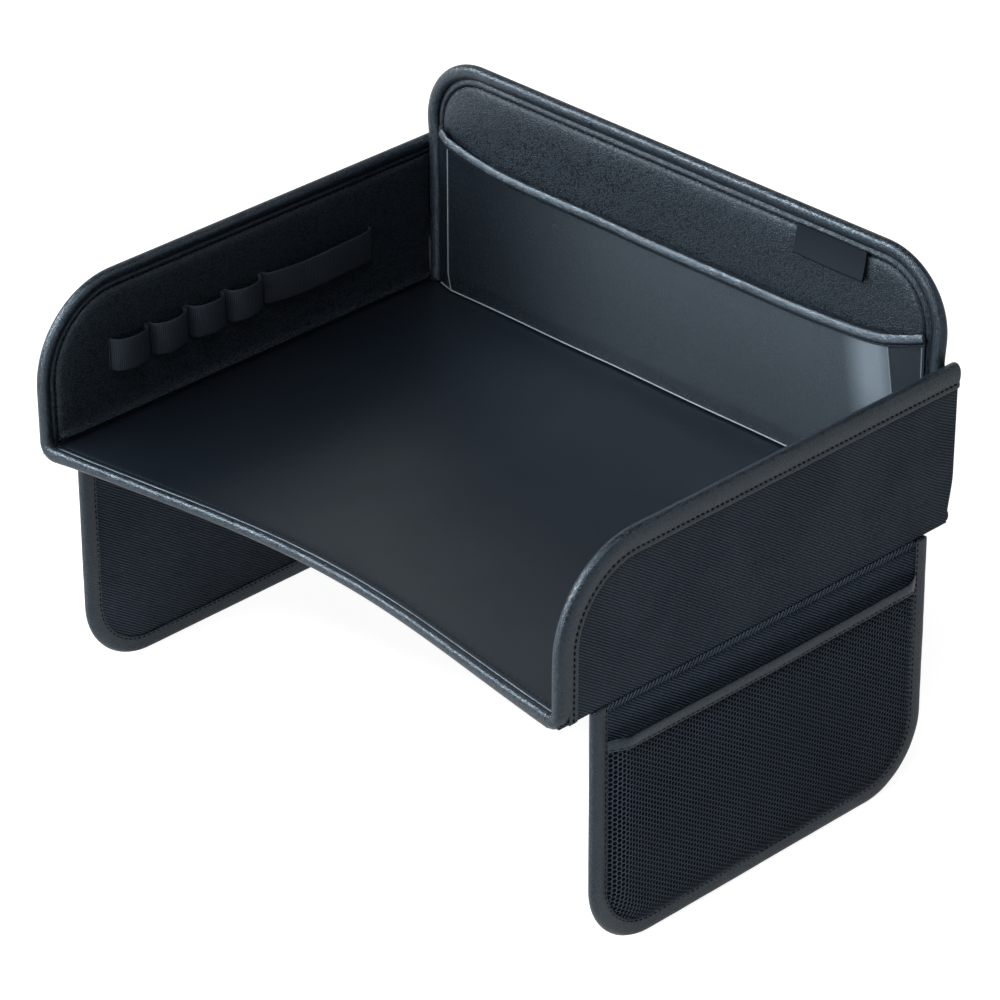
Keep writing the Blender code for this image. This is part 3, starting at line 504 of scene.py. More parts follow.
pebble, rolled, weave = grainGroup("pebbleGrain", False), grainGroup("rolledGrain", True), weaveGroup()
slant, upright = math.radians(34), math.radians(90)
looks = {  # group, its values, and the finish's own numbers
    "rollLeather": (rolled, {"Scale": 1100.0, "Pores": 0.3}, {
        "colour": (0.019, 0.028, 0.040), "deep": (0.001, 0.0015, 0.002), "rough": (0.31, 0.38),
        "bump": 1.0, "bumpDepth": 0.12, "creaseShadeShare": 1.0, "cloudShare": 0.1, "specular": 0.6}),
    "flatLeather": (pebble, {"Scale": 700.0, "Pores": 0.3}, {
        "colour": (0.019, 0.027, 0.038), "deep": (0.001, 0.0015, 0.002), "rough": (0.38, 0.45),
        "bump": 1.0, "bumpDepth": 0.20, "creaseShadeShare": 1.0, "cloudShare": 0.1, "specular": 0.4}),
    "floorLeather": (pebble, {"Scale": 2000.0, "Pores": 0.5}, {
        "colour": (0.0035, 0.0055, 0.0090), "deep": (0.002, 0.003, 0.005), "rough": (0.34, 0.41),
        "bump": 0.5, "bumpDepth": 0.05, "specular": 0.65}),
    "wallCloth": (weave, {"Pitch": 1.57, "Angle": slant, "Threads": 0.5}, {
        "colour": (0.074, 0.102, 0.142), "deep": (0.001, 0.0015, 0.003), "rough": (0.60, 0.70),
        "bump": 1.0, "bumpDepth": 0.32, "creaseShadeShare": 1.0, "cloudShare": 0.05, "specular": 0.2}),
    "wingCloth": (weave, {"Pitch": 1.57, "Angle": slant, "Threads": 0.5}, {
        "colour": (0.115, 0.152, 0.210), "deep": (0.003, 0.005, 0.008), "rough": (0.60, 0.70),
        "bump": 1.0, "bumpDepth": 0.32, "creaseShadeShare": 0.95, "cloudShare": 0.05, "specular": 0.1,
        # near-black where the mark is 1: painted shade behind the net
        "paintedLightTone": (0.001, 0.0015, 0.003)}),
    "loopElastic": (weave, {"Pitch": 1.1, "Angle": upright, "Threads": 0.5}, {
        "colour": (0.030, 0.037, 0.048), "deep": (0.005, 0.007, 0.010), "rough": (0.70, 0.80),
        "bump": 0.8, "bumpDepth": 0.2, "creaseShadeShare": 0.8, "specular": 0.2}),
    "netYarn": (pebble, {"Scale": 2600.0, "Pores": 0.5}, {
        "colour": (0.062, 0.082, 0.115), "deep": (0.037, 0.049, 0.070), "rough": (0.45, 0.55),
        "bump": 0.4, "bumpDepth": 0.05, "specular": 0.35}),
    "thread": (pebble, {"Scale": 3000.0, "Pores": 0.5}, {
        "colour": (0.002, 0.003, 0.004), "deep": (0.001, 0.0015, 0.002), "rough": (0.6, 0.7),
        "bump": 0.3, "bumpDepth": 0.05, "specular": 0.12}),
    "tagSatin": (weave, {"Pitch": 0.55, "Angle": upright, "Threads": 0.5}, {
        "colour": (0.006, 0.009, 0.013), "deep": (0.003, 0.004, 0.006), "rough": (0.5, 0.6),
        "bump": 0.3, "bumpDepth": 0.05, "specular": 0.15}),
    "hookTape": (pebble, {"Scale": 1300.0, "Pores": 0.9}, {
        "colour": (0.014, 0.017, 0.022), "deep": (0.004, 0.005, 0.007), "rough": (0.7, 0.9),
        "bump": 0.9, "bumpDepth": 0.4, "specular": 0.2}),
    "clearFilm": (pebble, {"Scale": 900.0, "Pores": 0.8}, {
        "colour": (0.007, 0.010, 0.013), "deep": (0.004, 0.006, 0.009), "rough": (0.26, 0.34),
        # its tone where the mark is high is a painted sheen and reflection on the film, and there the film is
        # less clear
        "bump": 1.0, "bumpDepth": 0.10, "specular": 0.5, "paintedLightTone": (0.17, 0.215, 0.255),
        "clear": (0.72, 0.9)}),
    # pale tone: a painted highlight along the film's folds and foot
    "filmFoldHighlight": (pebble, {"Scale": 1500.0, "Pores": 0.6}, {
        "colour": (0.16, 0.20, 0.23), "deep": (0.10, 0.12, 0.14), "rough": (0.25, 0.35),
        "bump": 0.3, "bumpDepth": 0.05, "specular": 0.6}),
    "stiffener": (pebble, {"Scale": 1500.0, "Pores": 0.3}, {
        "colour": (0.010, 0.012, 0.015), "deep": (0.006, 0.007, 0.009), "rough": (0.45, 0.55),
        "bump": 0.3, "bumpDepth": 0.1, "specular": 0.3}),
}
materials = {name: finishMaterial(name, *parts) for name, parts in looks.items()}
print("materials made")


def settle(piece, body, slot, *nodes):
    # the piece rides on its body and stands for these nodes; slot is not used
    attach(piece, body)
    if nodes:
        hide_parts(*nodes)


stitch = {"pitch": 3.7, "length": 2.6, "fromEnd": 2.5, "sides": 6, "ends": [-1, -0.86, -0.4, 0.4, 0.86, 1.0],
          "girth": [0.25, 0.78, 1, 1, 0.78, 0.25], "sag": [-0.9, -0.35, 0, 0, -0.35, -0.9]}


def stitchRow(name, body, path, inward, inset, level, place, radius, slot="binding", pitch=stitch["pitch"],
              length=stitch["length"]):
    # a row of threads: each is a short rod with sunk round ends, at even steps along the edge
    row = path + inward * inset
    run = runOf(row)
    count = max(int((run[-1] - 2 * stitch["fromEnd"]) / pitch), 1)
    at = np.linspace(stitch["fromEnd"], run[-1] - stitch["fromEnd"], count)
    centre, nor = valuesAt(row, run, at), unit(valuesAt(inward, run, at))
    tan = np.stack([nor[:, 1], -nor[:, 0]], 1)
    r, sag = np.array(stitch["girth"]) * radius, np.array(stitch["sag"]) * radius
    angle = circle(stitch["sides"])
    a = np.array(stitch["ends"])[:, None] * length / 2 + 0 * angle
    b = r[:, None] * np.cos(angle)
    z = r[:, None] * np.sin(angle) + sag[:, None]
    flat = centre[:, None, None] + tan[:, None, None] * a[..., None] + nor[:, None, None] * b[..., None]
    points = place(flat[..., 0], flat[..., 1],
                   np.broadcast_to(level + np.sign(level or 1) * z, flat.shape[:-1]))
    rings, sides = len(r), stitch["sides"]
    first = (np.arange(count) * rings * sides)[:, None]
    quads = (np.array(gridFaces(rings, sides, True))[None] + first[:, :, None]).reshape(-1, 4).tolist()
    ends = [(first + shift + np.arange(sides)).tolist() for shift in (0, (rings - 1) * sides)]
    settle(makePiece(name, points.reshape(-1, 3), quads + ends[0] + ends[1], materials["thread"]), body, slot)


# a padded panel's height over its low level, by the distance in from a bound and from a free edge:
# pinch under the roll, narrow ridge, stitched groove, then the crown
padding = {
    "from": [0, 7.4, 8.1, 8.7, 9.3, 10.1, 10.8, 11.2, 11.6, 12.0, 12.5, 13.3, 14.6, 17, 21, 26, 32],
    "rise": [0.1, 0.25, 0.7, 1.35, 1.62, 1.62, 1.35, 0.8, 0.25, 0.95, 1.55, 2.1, 2.6, 3.05, 3.38, 3.5, 3.52],
    "floorRise": [0.1, 0.25, 0.9, 2.0, 2.5, 2.75, 2.75, 2.55, 2.3, 2.55, 2.8, 3.0, 3.15, 3.3, 3.42, 3.48,
                  3.5],
    "freeFrom": [0, 0.5, 1.2, 2.4, 4.0, 6.0],
    "freeRise": [0.3, 1.5, 2.3, 3.0, 3.4, 3.6],
    "freeSteps": [0.2, 0.4, 0.6, 0.9, 1.3, 1.8, 2.4, 3.2, 4, 5, 6, 7.5, 9.5, 12, 16, 22],
    "scale": 0.98, "floorScale": 0.72, "floorLow": 3.7, "trim": 0.9, "overBoard": 0.1,
    "pucker": 0.16, "puckerPitch": 7.3, "puckerReach": 7.0, "floorShift": 2.2,
    "backShift": 1.4, "footBead": 1.7, "footHeight": 8.8, "footSpread": 1.9}


def softRipple(u, v, seed, size):
    # slow unevenness of foam under leather: the sum of four plane waves at random angles
    rng = np.random.default_rng(seed)
    total = 0
    for wavelength in (34, 52, 78, 120):
        a, p = rng.random(2) * 2 * np.pi
        total = total + np.sin((u * np.cos(a) + v * np.sin(a)) * 2 * np.pi / wavelength
                               + p) * wavelength / 120
    return total * size


def padLevel(u, v, bound, free, low, scale, ripple, table="rise"):
    # the height table, with slow ripples inside and short puckers that fade out away from the seam
    rise = np.interp(bound, padding["from"], padding[table]) * scale
    limit = np.interp(free, padding["freeFrom"], padding["freeRise"]) * scale
    inside = np.clip((bound - 12.5) / 14, 0, 1) * np.clip((free - 2) / 14, 0, 1)
    wave = np.sin((u + v) * 2 * np.pi / padding["puckerPitch"] + 1.4 * np.sin((u - v) / 23))
    fades = np.clip((bound - 12) / 1.5, 0, 1) * np.exp(-np.clip(bound - 13.5, 0, 60) / padding["puckerReach"])
    fades = fades * np.clip(free / 8, 0, 1) * (0.6 + 0.4 * np.sin(u / 37 + v / 19))
    return low + np.minimum(rise, limit) + ripple * inside + padding["pucker"] * scale * wave * fades


def makePanel(name, body, slot, node, outlineAt, shift, level, low, place, material):
    # a padded panel: the table's insets, moved by the shift, inside an outline trimmed at its free edges
    insets = list(zip(np.array(padding["from"][1:]) - shift, padding["freeSteps"]))
    panel = panelSolid(name, lambda b, f: outlineAt(b, f + padding["trim"]), insets, level,
                       low + padding["overBoard"], place, materials[material])
    settle(panel, body, slot, node)


def sideDistances(u, v):
    # distance in from the bound front and top, and from the free foot and rear
    return (cornerDistance(u + tray["depth"] / 2, tray["sideHeight"] - v, tray["sideCorner"]),
            np.minimum(v - padding["trim"], tray["rearFace"] - padding["trim"] - u))


def backDistances(u, v):
    # distance in from the bound sides and top, and from the free foot
    height = tray["backHeight"] - tray["backFoot"]
    return cornerDistance(tray["floorHalf"] - abs(u), height - v, tray["backCorner"]), v - padding["trim"]


def floorDistances(u, v):
    # distance in from the bound front curve, square to it, and from the free sides and rear
    edge, slope = frontCurve(u)
    free = np.minimum(tray["floorHalf"] - abs(u), tray["rearFace"] - v) - padding["trim"]
    return (v - edge) / np.sqrt(1 + slope ** 2), free


def makeSidePanel(side, name):
    # the pad's height plus a bead along the foot, a bell curve of the height above it
    def level(u, v):
        bound, free = sideDistances(u, v)
        bead = padding["footBead"] * np.exp(-((v - padding["footHeight"]) / padding["footSpread"]) ** 2)
        bead = bead * np.clip((bound - 11.8) / 2.5, 0, 1)
        ripple = softRipple(u, v, 3 + side, 0.10)
        return padLevel(u, v, bound, free, tray["padLow"], padding["scale"], ripple) + bead
    makePanel(name + "WallPanel", name + "_wall", "leather", name + "_wall_inner_panel", sideOutline, 0.0,
              level,
              tray["padLow"], placeSide(side), "flatLeather")


def makeBackPanel():
    # the pad's height, its table moved in by the wider roll
    def level(u, v):
        bound, free = backDistances(u, v)
        ripple = softRipple(u, v, 8, 0.12)
        return padLevel(u, v, bound - padding["backShift"], free, tray["padLow"], padding["scale"], ripple)
    makePanel("backWallPanel", "back_wall", "leather", "back_wall_inner_panel", backOutline,
              -padding["backShift"],
              level, tray["padLow"], placeBack, "flatLeather")


def makeFloorPanel():
    # the pad's height by its own shallow table, moved out under the front roll
    def level(u, v):
        bound, free = floorDistances(u, v)
        return padLevel(u, v, bound + padding["floorShift"], free, padding["floorLow"], padding["floorScale"],
                        softRipple(u, v, 5, 0.07), "floorRise")
    makePanel("floorPanel", "tray_floor", "floor", "base_top_panel", floorOutline, padding["floorShift"],
              level,
              padding["floorLow"], placeFloor, "floorLeather")


# woven covers on the outer faces: flat cloth whose edges round over towards the board
cover = {"insets": [(2.4, 0.0), (2.7, 0.15), (3.2, 0.4), (3.8, 0.8), (4.6, 1.3), (6, 2.2), (8, 3), (12, 6),
                    (18, 12), (26, 20)], "back": 2.2, "roundOver": 0.9, "proud": 0.1, "rearLip": 3.7,
         "lipFrom": 1, "lipOver": 30, "lipDepth": 12, "recess": 1.2, "recessTo": 13.0, "floorBack": 2.6}


def coverEdge(bound, free):
    # 0 at the edge to 1 two mm in
    return np.clip(np.minimum(bound - 2, free + 0.9) / 2.0, 0, 1)


def coverLevel(u, v, distances, seed, size):
    # a quarter round at the edge, a little proud inside, with slow ripples
    edge = coverEdge(*distances)
    return cover["roundOver"] * (1 - np.sqrt(edge)) - cover["proud"] - softRipple(u, v, seed, size) * edge


def makeSideCover(side, name):
    # flat cloth whose rear edge runs on over the corner flap's fold, by a smooth step up from the foot
    def placeRear(u, v, w):
        step = smoothStep(np.clip((v - cover["lipFrom"]) / cover["lipOver"], 0, 1))
        near = np.clip((u - tray["rearFace"] + cover["lipDepth"]) / cover["lipDepth"], 0, 1)
        return placeSide(side)(u + cover["rearLip"] * step * near, v, w)
    piece = panelSolid(name + "WallCover", sideOutline, cover["insets"],
                       lambda u, v: coverLevel(u, v, sideDistances(u, v), 21 + side, 0.06), cover["back"],
                       placeRear, materials["wallCloth"])
    settle(piece, name + "_wall", "woven", name + "_wall_outer_cover")


def makeBackCover():
    # flat cloth behind the back wall
    piece = panelSolid("backWallCover", backOutline, cover["insets"],
                       lambda u, v: coverLevel(u, v, backDistances(u, v), 30, 0.08), cover["back"], placeBack,
                       materials["wallCloth"])
    settle(piece, "back_wall", "woven", "back_wall_outer_cover")


def makeFloorCover():
    # flat cloth under the floor, stepped up by the recess where the front binding folds under it
    def level(u, v):
        bound, free = floorDistances(u, v)
        recess = cover["recess"] * np.clip(cover["recessTo"] - bound, 0, 1)
        return 0.07 + cover["roundOver"] * (1 - np.sqrt(coverEdge(bound, free))) + recess
    insets = cover["insets"][:-3] + [(11.6, 6), (12.2, 7), (13, 8), (18, 12), (26, 20)]
    piece = panelSolid("floorUnderside", floorOutline, insets, level, cover["floorBack"], placeFloor,
                       materials["wallCloth"])
    settle(piece, "tray_floor", "woven", "base_underside_cover")


def wingBound(u, v):
    # distance in from the wing's front, rear and bottom edges and their round corners
    return cornerDistance(np.minimum(u - wing["front"], wing["rear"] - u), v + wing["length"], wing["corner"])


wingCover = {"insets": [(2.4, 0.0), (3.4, 0.4), (5, 1.2), (8, 3), (12, 6), (15, 9), (18, 12), (22, 17),
                        (26, 20)],
             "level": 1.7, "back": 0.8, "ripple": 0.12, "netShadeFrom": 5, "netShadeOver": 3}


def makeWingCovers(side, name):
    # flat rippled cloth on both faces; the outer one gets painted shade behind the net, a near-black tone
    # from a little below the pocket's top
    for label, sign in (("Outer", 1), ("Inner", -1)):
        def level(u, v):
            edge = np.clip((wingBound(u, v) - 2) / 3, 0, 1) * np.clip(-v / 6 + 0.2, 0, 1)
            ripple = softRipple(u, v, 40 + side + 5 * sign, wingCover["ripple"])
            return sign * (wingCover["level"] + ripple * edge)

        # painted shade behind the net: 1 below the pocket's top, on the outer face only
        def netShade(u, v):
            return np.clip((-v - net["top"] - wingCover["netShadeFrom"]) / wingCover["netShadeOver"], 0,
                           1) * (sign > 0)
        piece = panelSolid(f"{name}Wing{label}Cloth", wingOutline, wingCover["insets"], level,
                           sign * wingCover["back"], placeWing(side),
                           materials["wingCloth" if sign > 0 else "wallCloth"], netShade)
        settle(piece, name + "_wing", "woven", f"{name}_wing_{label.lower()}_cover")


wallRoll = {  # (inset, level): outer flange with its stitch line, outer roll, nose, inner roll, inside
    "section": [(15.0, 0.25), (15.2, -0.7), (14.6, -1.2), (13.4, -1.25), (12.5, -0.9), (11.4, -0.9),
                (10.6, -1.25),
                (8.0, -1.65), (5.0, -1.65), (2.6, -1.15), (0.9, -0.1), (0.0, 1.7), (0.3, 3.8), (1.5, 5.5),
                (3.6, 6.25), (5.9, 5.75), (7.4, 4.6), (8.0, 3.6), (7.6, 3.3), (4.5, 3.8), (2.2, 3.4),
                (2.0, 1.0),
                (4.0, 0.25), (9.0, 0.2)],
    "stitch": 11.95, "stitchLevel": -1.0, "stitchRadius": 0.46, "innerStitch": 11.6, "innerUp": 0.75,
    "innerRadius": 0.34, "wobble": 0.14, "rearEnd": 157.6, "backWiden": 1.12, "backOut": 1.0, "backUp": 0.32,
    "setOver": 12, "fadeOver": 1.4, "dome": 1.6}


def wallStitches(name, body, path, inward, place, shift=0.0):
    # a row on the outer flange and one in the panel's groove
    stitchRow(name + "OuterStitches", body, path, inward, wallRoll["stitch"], wallRoll["stitchLevel"], place,
              wallRoll["stitchRadius"])
    stitchRow(name + "InnerStitches", body, path, inward, wallRoll["innerStitch"] + shift,
              tray["padLow"] + wallRoll["innerUp"], place, wallRoll["innerRadius"])


def makeSideBinding(side, name):
    # the roll over the top and front edges, fading out where the corner piping takes over
    points = sideOutline(0, 0)
    start = 2 * 121 + 1  # the rear top corner, after two straight sides
    line = np.concatenate([[[wallRoll["rearEnd"], tray["sideHeight"]]], points[start:], points[:1]])
    path, inward = edgeOf(line)
    fine, fineIn = endPadded(path, inward)
    low = np.where(fine[:, 0] < 0, fine[:, 1], 100)
    fade = np.clip((elbow["wallStart"] - 0.2 - low) / wallRoll["fadeOver"], 0, 1)
    piece = sweptSolid(name + "WallBinding", fine, fineIn, wallRoll["section"], placeSide(side),
                       wallRoll["wobble"], 11 + side, wallRoll["dome"], fade)
    settle(piece, name + "_wall", "binding", name + "_wall_binding")
    wallStitches(name + "Wall", name + "_wall", path[1:], inward[1:], placeSide(side))


def placeBackRoll(u, v, w):
    # the back's place, its roll set out a little above the side walls and a little higher on the right
    share = np.clip((v + tray["backFoot"] - tray["sideHeight"]) / wallRoll["setOver"], 0, 1)
    up = wallRoll["backUp"] * (1 + u / tray["floorHalf"])
    return placeBack(u + np.sign(u) * wallRoll["backOut"] * share, v + up * share, w)


def makeBackBinding():
    # the roll over the sides and the top, a little wider than a side wall's
    points = backOutline(0, 0)
    path, inward = edgeOf(np.concatenate([points[121:], points[:1]]))
    fine, fineIn = endPadded(path, inward)
    section = np.array(wallRoll["section"]) * [wallRoll["backWiden"], 1.0]
    piece = sweptSolid("backWallBinding", fine, fineIn, section, placeBackRoll, wallRoll["wobble"], 5,
                       wallRoll["dome"])
    settle(piece, "back_wall", "binding", "back_wall_binding")
    wallStitches("backWall", "back_wall", path, inward, placeBack, padding["backShift"])


floorRoll = {
    "section": [(12.0, 1.0), (12.0, 0.45), (11.2, 0.15), (9.6, 0.25), (8.8, 0.4), (7.9, 0.2), (5.0, -0.1),
                (2.2, 0.15), (0.5, 1.2), (0.0, 2.9), (0.4, 4.9), (1.6, 6.3), (3.4, 6.7), (5.1, 6.1),
                (6.2, 5.0),
                (6.1, 4.3), (3.6, 4.6), (2.1, 4.0), (2.1, 1.7), (4.0, 1.05), (8.0, 1.05)],
    "rows": (("Top", 9.4, 5.45), ("Under", 9.2, -0.05)), "stitchRadius": 0.34,
    "drop": 3.0, "dropBelow": 3.5, "wobble": 0.10, "dome": 1.2, "sink": (8.4, 0.7), "fadeOver": 1.4}


def placeFloorRoll(u, v, w):
    # the floor's place, with the roll's lower half let down towards both corners, sooner on the right
    share = np.abs(u / tray["floorHalf"]) ** np.where(u > 0, 2.2, 9.0)
    low = np.clip((floorRoll["dropBelow"] - w) / floorRoll["dropBelow"], 0, 1)
    return placeFloor(u, v, w - floorRoll["drop"] * share * low)


def makeFloorBinding():
    # the roll along the front curve, fading out where the corner piping takes over
    x = np.linspace(-tray["floorHalf"], tray["floorHalf"], 230)
    y, slope = frontCurve(x)
    path = np.stack([x, y], 1)
    inward = unit(np.stack([-slope, np.ones(len(x))], 1))
    fine, fineIn = endPadded(path, inward)
    fade = np.clip((abs(fine[:, 0]) - elbow["floorStart"] - 0.2) / floorRoll["fadeOver"], 0, 1)
    piece = sweptSolid("floorBinding", fine, fineIn, floorRoll["section"], placeFloorRoll,
                       floorRoll["wobble"], 3,
                       floorRoll["dome"], fade, floorRoll["sink"])
    settle(piece, "tray_floor", "binding", "base_front_binding")
    for label, inset, level in floorRoll["rows"]:
        stitchRow(f"floor{label}Stitches", "tray_floor", path, inward, inset, level, placeFloor,
                  floorRoll["stitchRadius"])


elbow = {  # the piping's turn from the wall's front edge to the floor's: noses as (inset, outward offset)
    "wallStart": 9.0, "floorStart": 201.0, "wallMiddle": 207.9, "floorMiddle": 1.9, "lead": [3.2, 1.6],
    "dive": (0.86, 0.96),
    "wallNose": [(9.4, 3.3), (7.4, 3.78), (5.0, 3.78), (2.6, 3.3), (0.9, 2.25), (0.0, 0.45), (0.3, -1.7),
                 (1.5, -3.4),
                 (3.6, -4.2), (5.9, -3.7), (7.4, -2.55), (8.6, -1.6), (9.0, 0.0)],
    "floorNose": [(9.4, 2.3), (7.4, 3.9), (5.6, 4.75), (3.6, 4.7), (1.7, 3.6), (0.4, 1.6), (0.0, -0.5),
                  (0.5, -2.7),
                  (1.8, -4.35), (3.6, -4.85), (5.4, -4.2), (6.5, -3.1), (9.0, 0.0)]}


def makeElbow(side, name):
    # a nose-shaped ring carried round a quarter ellipse in the x-z plane, changing from one nose to the other
    a, b = elbow["wallMiddle"] - elbow["floorStart"], elbow["wallStart"] - elbow["floorMiddle"]
    turn = np.linspace(0, np.pi / 2, 22)
    cx, cz = elbow["floorStart"], elbow["wallStart"]
    px, pz = cx + a * np.cos(turn), cz - b * np.sin(turn)
    nx, nz = unit(np.stack([b * np.cos(turn), -a * np.sin(turn)], 1)).T
    lead = np.array(elbow["lead"])
    px = np.concatenate([[px[0], px[0]], px, cx - lead[::-1]])
    pz = np.concatenate([cz + lead, pz, [pz[-1], pz[-1]]])
    nx = np.concatenate([[1, 1], nx, [0, 0]])
    nz = np.concatenate([[0, 0], nz, [-1, -1]])
    share = np.concatenate([[0, 0], np.sin(turn) ** 2, [1, 1]])[:, None, None]
    wallNose, floorNose = rounded(elbow["wallNose"]), rounded(elbow["floorNose"])
    ring = wallNose[None] * (1 - share) + floorNose[None] * share
    dive = np.ones(len(px))
    dive[:2], dive[-2:] = elbow["dive"], elbow["dive"][::-1]  # both ends shrink into the rolls that they meet
    middle = ring.mean(1)[:, None]
    ring = middle + (ring - middle) * dive[:, None, None]
    x = px[:, None] + nx[:, None] * ring[..., 1]
    z = pz[:, None] + nz[:, None] * ring[..., 1]
    y = frontCurve(px)[0][:, None] + ring[..., 0] - 0.05
    uv = paired(runOf(np.stack([px, pz], 1))[:, None], runOf(wallNose)[None])
    piece = tubeSolid(name + "CornerPiping", np.stack([side * x, y, z], -1), materials["rollLeather"], uv)
    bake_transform(piece)


wingTape = {"section": [(10.5, 1.75), (10.6, 2.3), (10.1, 2.68), (9.5, 2.62), (8.9, 2.62), (8.2, 2.8),
                        (5.5, 3.0),
                        (2.8, 2.95), (1.0, 2.35), (0.0, 0.9)],
            "inside": [(10.2, -1.75), (2.2, -1.75), (2.2, 1.75)], "stitch": 9.2, "stitchLevel": 2.6,
            "stitchRadius": 0.36, "wobble": 0.08, "dome": 1.4}


def makeWingBinding(side, name):
    # a tape folded over the wing's edge: half a section and its mirror image, down one side and up the other
    points = wingOutline(0, 0)
    line = np.concatenate([points[-121:], points[:2 * 31 + 2 * 120]])
    above = [0, wing["above"]]
    path, inward = edgeOf(np.concatenate([line[:1] + above, line, line[-1:] + above]))
    half = wingTape["section"]
    section = half + [(d, -w) for d, w in half[::-1]] + wingTape["inside"]
    fine, fineIn = endPadded(path, inward)
    piece = sweptSolid(name + "WingBinding", fine, fineIn, section, placeWing(side), wingTape["wobble"], 60
                       + side,
                       wingTape["dome"])
    settle(piece, name + "_wing", "binding", name + "_wing_binding")
    for label, sign in (("Outer", 1), ("Inner", -1)):
        stitchRow(f"{name}Wing{label}Stitches", name + "_wing", path, inward, wingTape["stitch"],
                  sign * wingTape["stitchLevel"], placeWing(side), wingTape["stitchRadius"])


seam = {"radius": 2.7, "flat": -1.2, "fromEnd": 8.5, "dome": 4}


def makeWingSeam(side, name):
    # rolled seam on the hinge line: a circle with its underside cut flat
    angle = circle(24)
    y = np.linspace(wing["front"] + seam["fromEnd"], wing["rear"] - seam["fromEnd"], 110)
    ring = np.stack([np.cos(angle), np.sin(angle)], 1) * seam["radius"]
    ring[:, 1] = np.maximum(ring[:, 1], seam["flat"])
    pull = domed(np.minimum(y - y[0], y[-1] - y)[:, None], seam["dome"], 0.1)
    grid = np.broadcast_arrays(side * (wing["x"] + ring[None, :, 0] * pull), y[:, None],
                               wing["hinge"] + ring[None, :, 1] * pull)
    piece = tubeSolid(name + "WingSeam", np.stack(grid, -1), materials["wingCloth"],
                      paired(-y[:, None], (angle * seam["radius"])[None]))
    settle(piece, name + "_wing", "woven", name + "_wing_top_seam")


net = {"pitch": 3.03, "narrow": 0.87, "hole": 0.78, "top": 17.5, "above": 3, "stand": 7.8, "low": 2.1,
       "edge": 9.4,
       "riseFrom": 10.2, "riseOver": 13.0, "thick": 0.30, "bulge": 1.0, "bulgeHalf": (122, 68),
       "bulgeAt": -85,
       "flat": (0.250, 0.134), "area": 0.0165}


def netLevel(u, v):
    # a quarter wave up from the bound edge, then nearly flat with a slight belly
    rise = np.sin(np.pi / 2 * np.clip((wingBound(u, v) - net["riseFrom"]) / net["riseOver"], 0, 1))
    middle = (wing["front"] + wing["rear"]) / 2
    across = np.clip(1 - ((u - middle) / net["bulgeHalf"][0]) ** 2, 0, 1)
    belly = net["bulge"] * across * np.clip(1 - ((v - net["bulgeAt"]) / net["bulgeHalf"][1]) ** 2, 0, 1)
    return net["low"] + (net["stand"] - net["low"]) * rise + belly, rise


def makeNet(side, name):
    # honeycomb: six-sided holes in upright columns, each ringed by a raised ridge on the cell's border
    step = net["pitch"] * math.sqrt(3) / 2 * net["narrow"]
    u = np.arange(wing["front"] + net["edge"] + 0.2, wing["rear"] - net["edge"], step)
    v = np.arange(-net["top"] - net["above"], -wing["length"] + net["edge"], -net["pitch"])
    cu, cv = np.meshgrid(u, v, indexing="ij")
    cv = cv - (np.arange(len(u)) % 2)[:, None] * net["pitch"] / 2
    keep = wingBound(cu, cv) > net["edge"]
    cu, cv = cu[keep], cv[keep]
    ring = np.arange(6)
    angle = ring * np.pi / 3
    border = np.stack([np.cos(angle) * net["narrow"], np.sin(angle)], 1) * net["pitch"] / math.sqrt(3)
    rings = np.stack([border * net["hole"], border, border * net["hole"], border])
    lift = np.array([0.0, net["thick"], 0.0, -net["thick"]])
    pu, pv = cu[:, None, None] + rings[None, ..., 0], cv[:, None, None] + rings[None, ..., 1]
    w = netLevel(pu, pv)[0] + lift[None, :, None] + softRipple(pu, pv, 70 + side, 0.10)
    after = (ring + 1) % 6
    front = np.stack([ring, after, after + 6, ring + 6], 1)
    back = np.stack([after, ring, ring + 6, after + 6], 1) + 12
    faces = (np.concatenate([front, back])[None]
             + (np.arange(len(cu)) * 24)[:, None, None]).reshape(-1, 4).tolist()
    piece = makePiece(name + "PocketNet", placeWing(side)(pu, pv, w).reshape(-1, 3), faces,
                      materials["netYarn"],
                      np.stack([pu, pv], -1).reshape(-1, 2), sharp=180)
    settle(piece, name + "_wing", "net", name + "_mesh_pocket_net", name + "_mesh_pocket_side")


netTape = {"section": [(7.3, 0.3), (7.4, 1.0), (6.6, 1.35), (5.8, 1.1), (3.6, 1.5), (1.4, 1.5), (0.2, 0.9),
                       (0.0, 0.0), (0.2, -0.9), (1.6, -1.2), (7.3, -1.1), (7.3, -0.5), (1.4, -0.4),
                       (1.4, 0.4)],
           "inset": 9.9, "sag": 0.8, "droop": 1.2, "droopOver": 9.0, "rearDroop": 0.25, "stitch": 6.1,
           "stitchLevel": 1.15, "stitchRadius": 0.32, "wobble": 0.08, "dome": 0.4}


def makePocketTape(side, name):
    # the tape follows the net's height, so its ends dive under the binding, and droops a little there
    middle, half = (wing["front"] + wing["rear"]) / 2, (wing["rear"] - wing["front"]) / 2 - netTape["inset"]
    u = middle + half * np.sin(np.linspace(-np.pi / 2, np.pi / 2, 140))
    fromEnd = half - abs(u - middle)
    droop = np.where(u < middle, 1.0, netTape["rearDroop"]) * netTape["droop"]
    droop = droop * np.exp(-fromEnd / netTape["droopOver"] * 2)
    path = np.stack([u, -net["top"] - netTape["sag"] * np.cos((u - middle) / half * np.pi / 2) - droop], 1)
    inward = np.tile([0.0, -1.0], (len(u), 1))

    def placeOut(u, v, w):
        level, rise = netLevel(u, v)
        return placeWing(side)(u, v, level + 0.4 + w * (0.35 + 0.65 * rise))
    piece = sweptSolid(name + "PocketTape", path, inward, netTape["section"], placeOut, netTape["wobble"],
                       90 + side, netTape["dome"])
    settle(piece, name + "_wing", "binding", name + "_mesh_pocket_binding")
    stitchRow(name + "PocketTapeStitches", name + "_wing", path, inward, netTape["stitch"],
              netTape["stitchLevel"],
              placeOut, netTape["stitchRadius"])


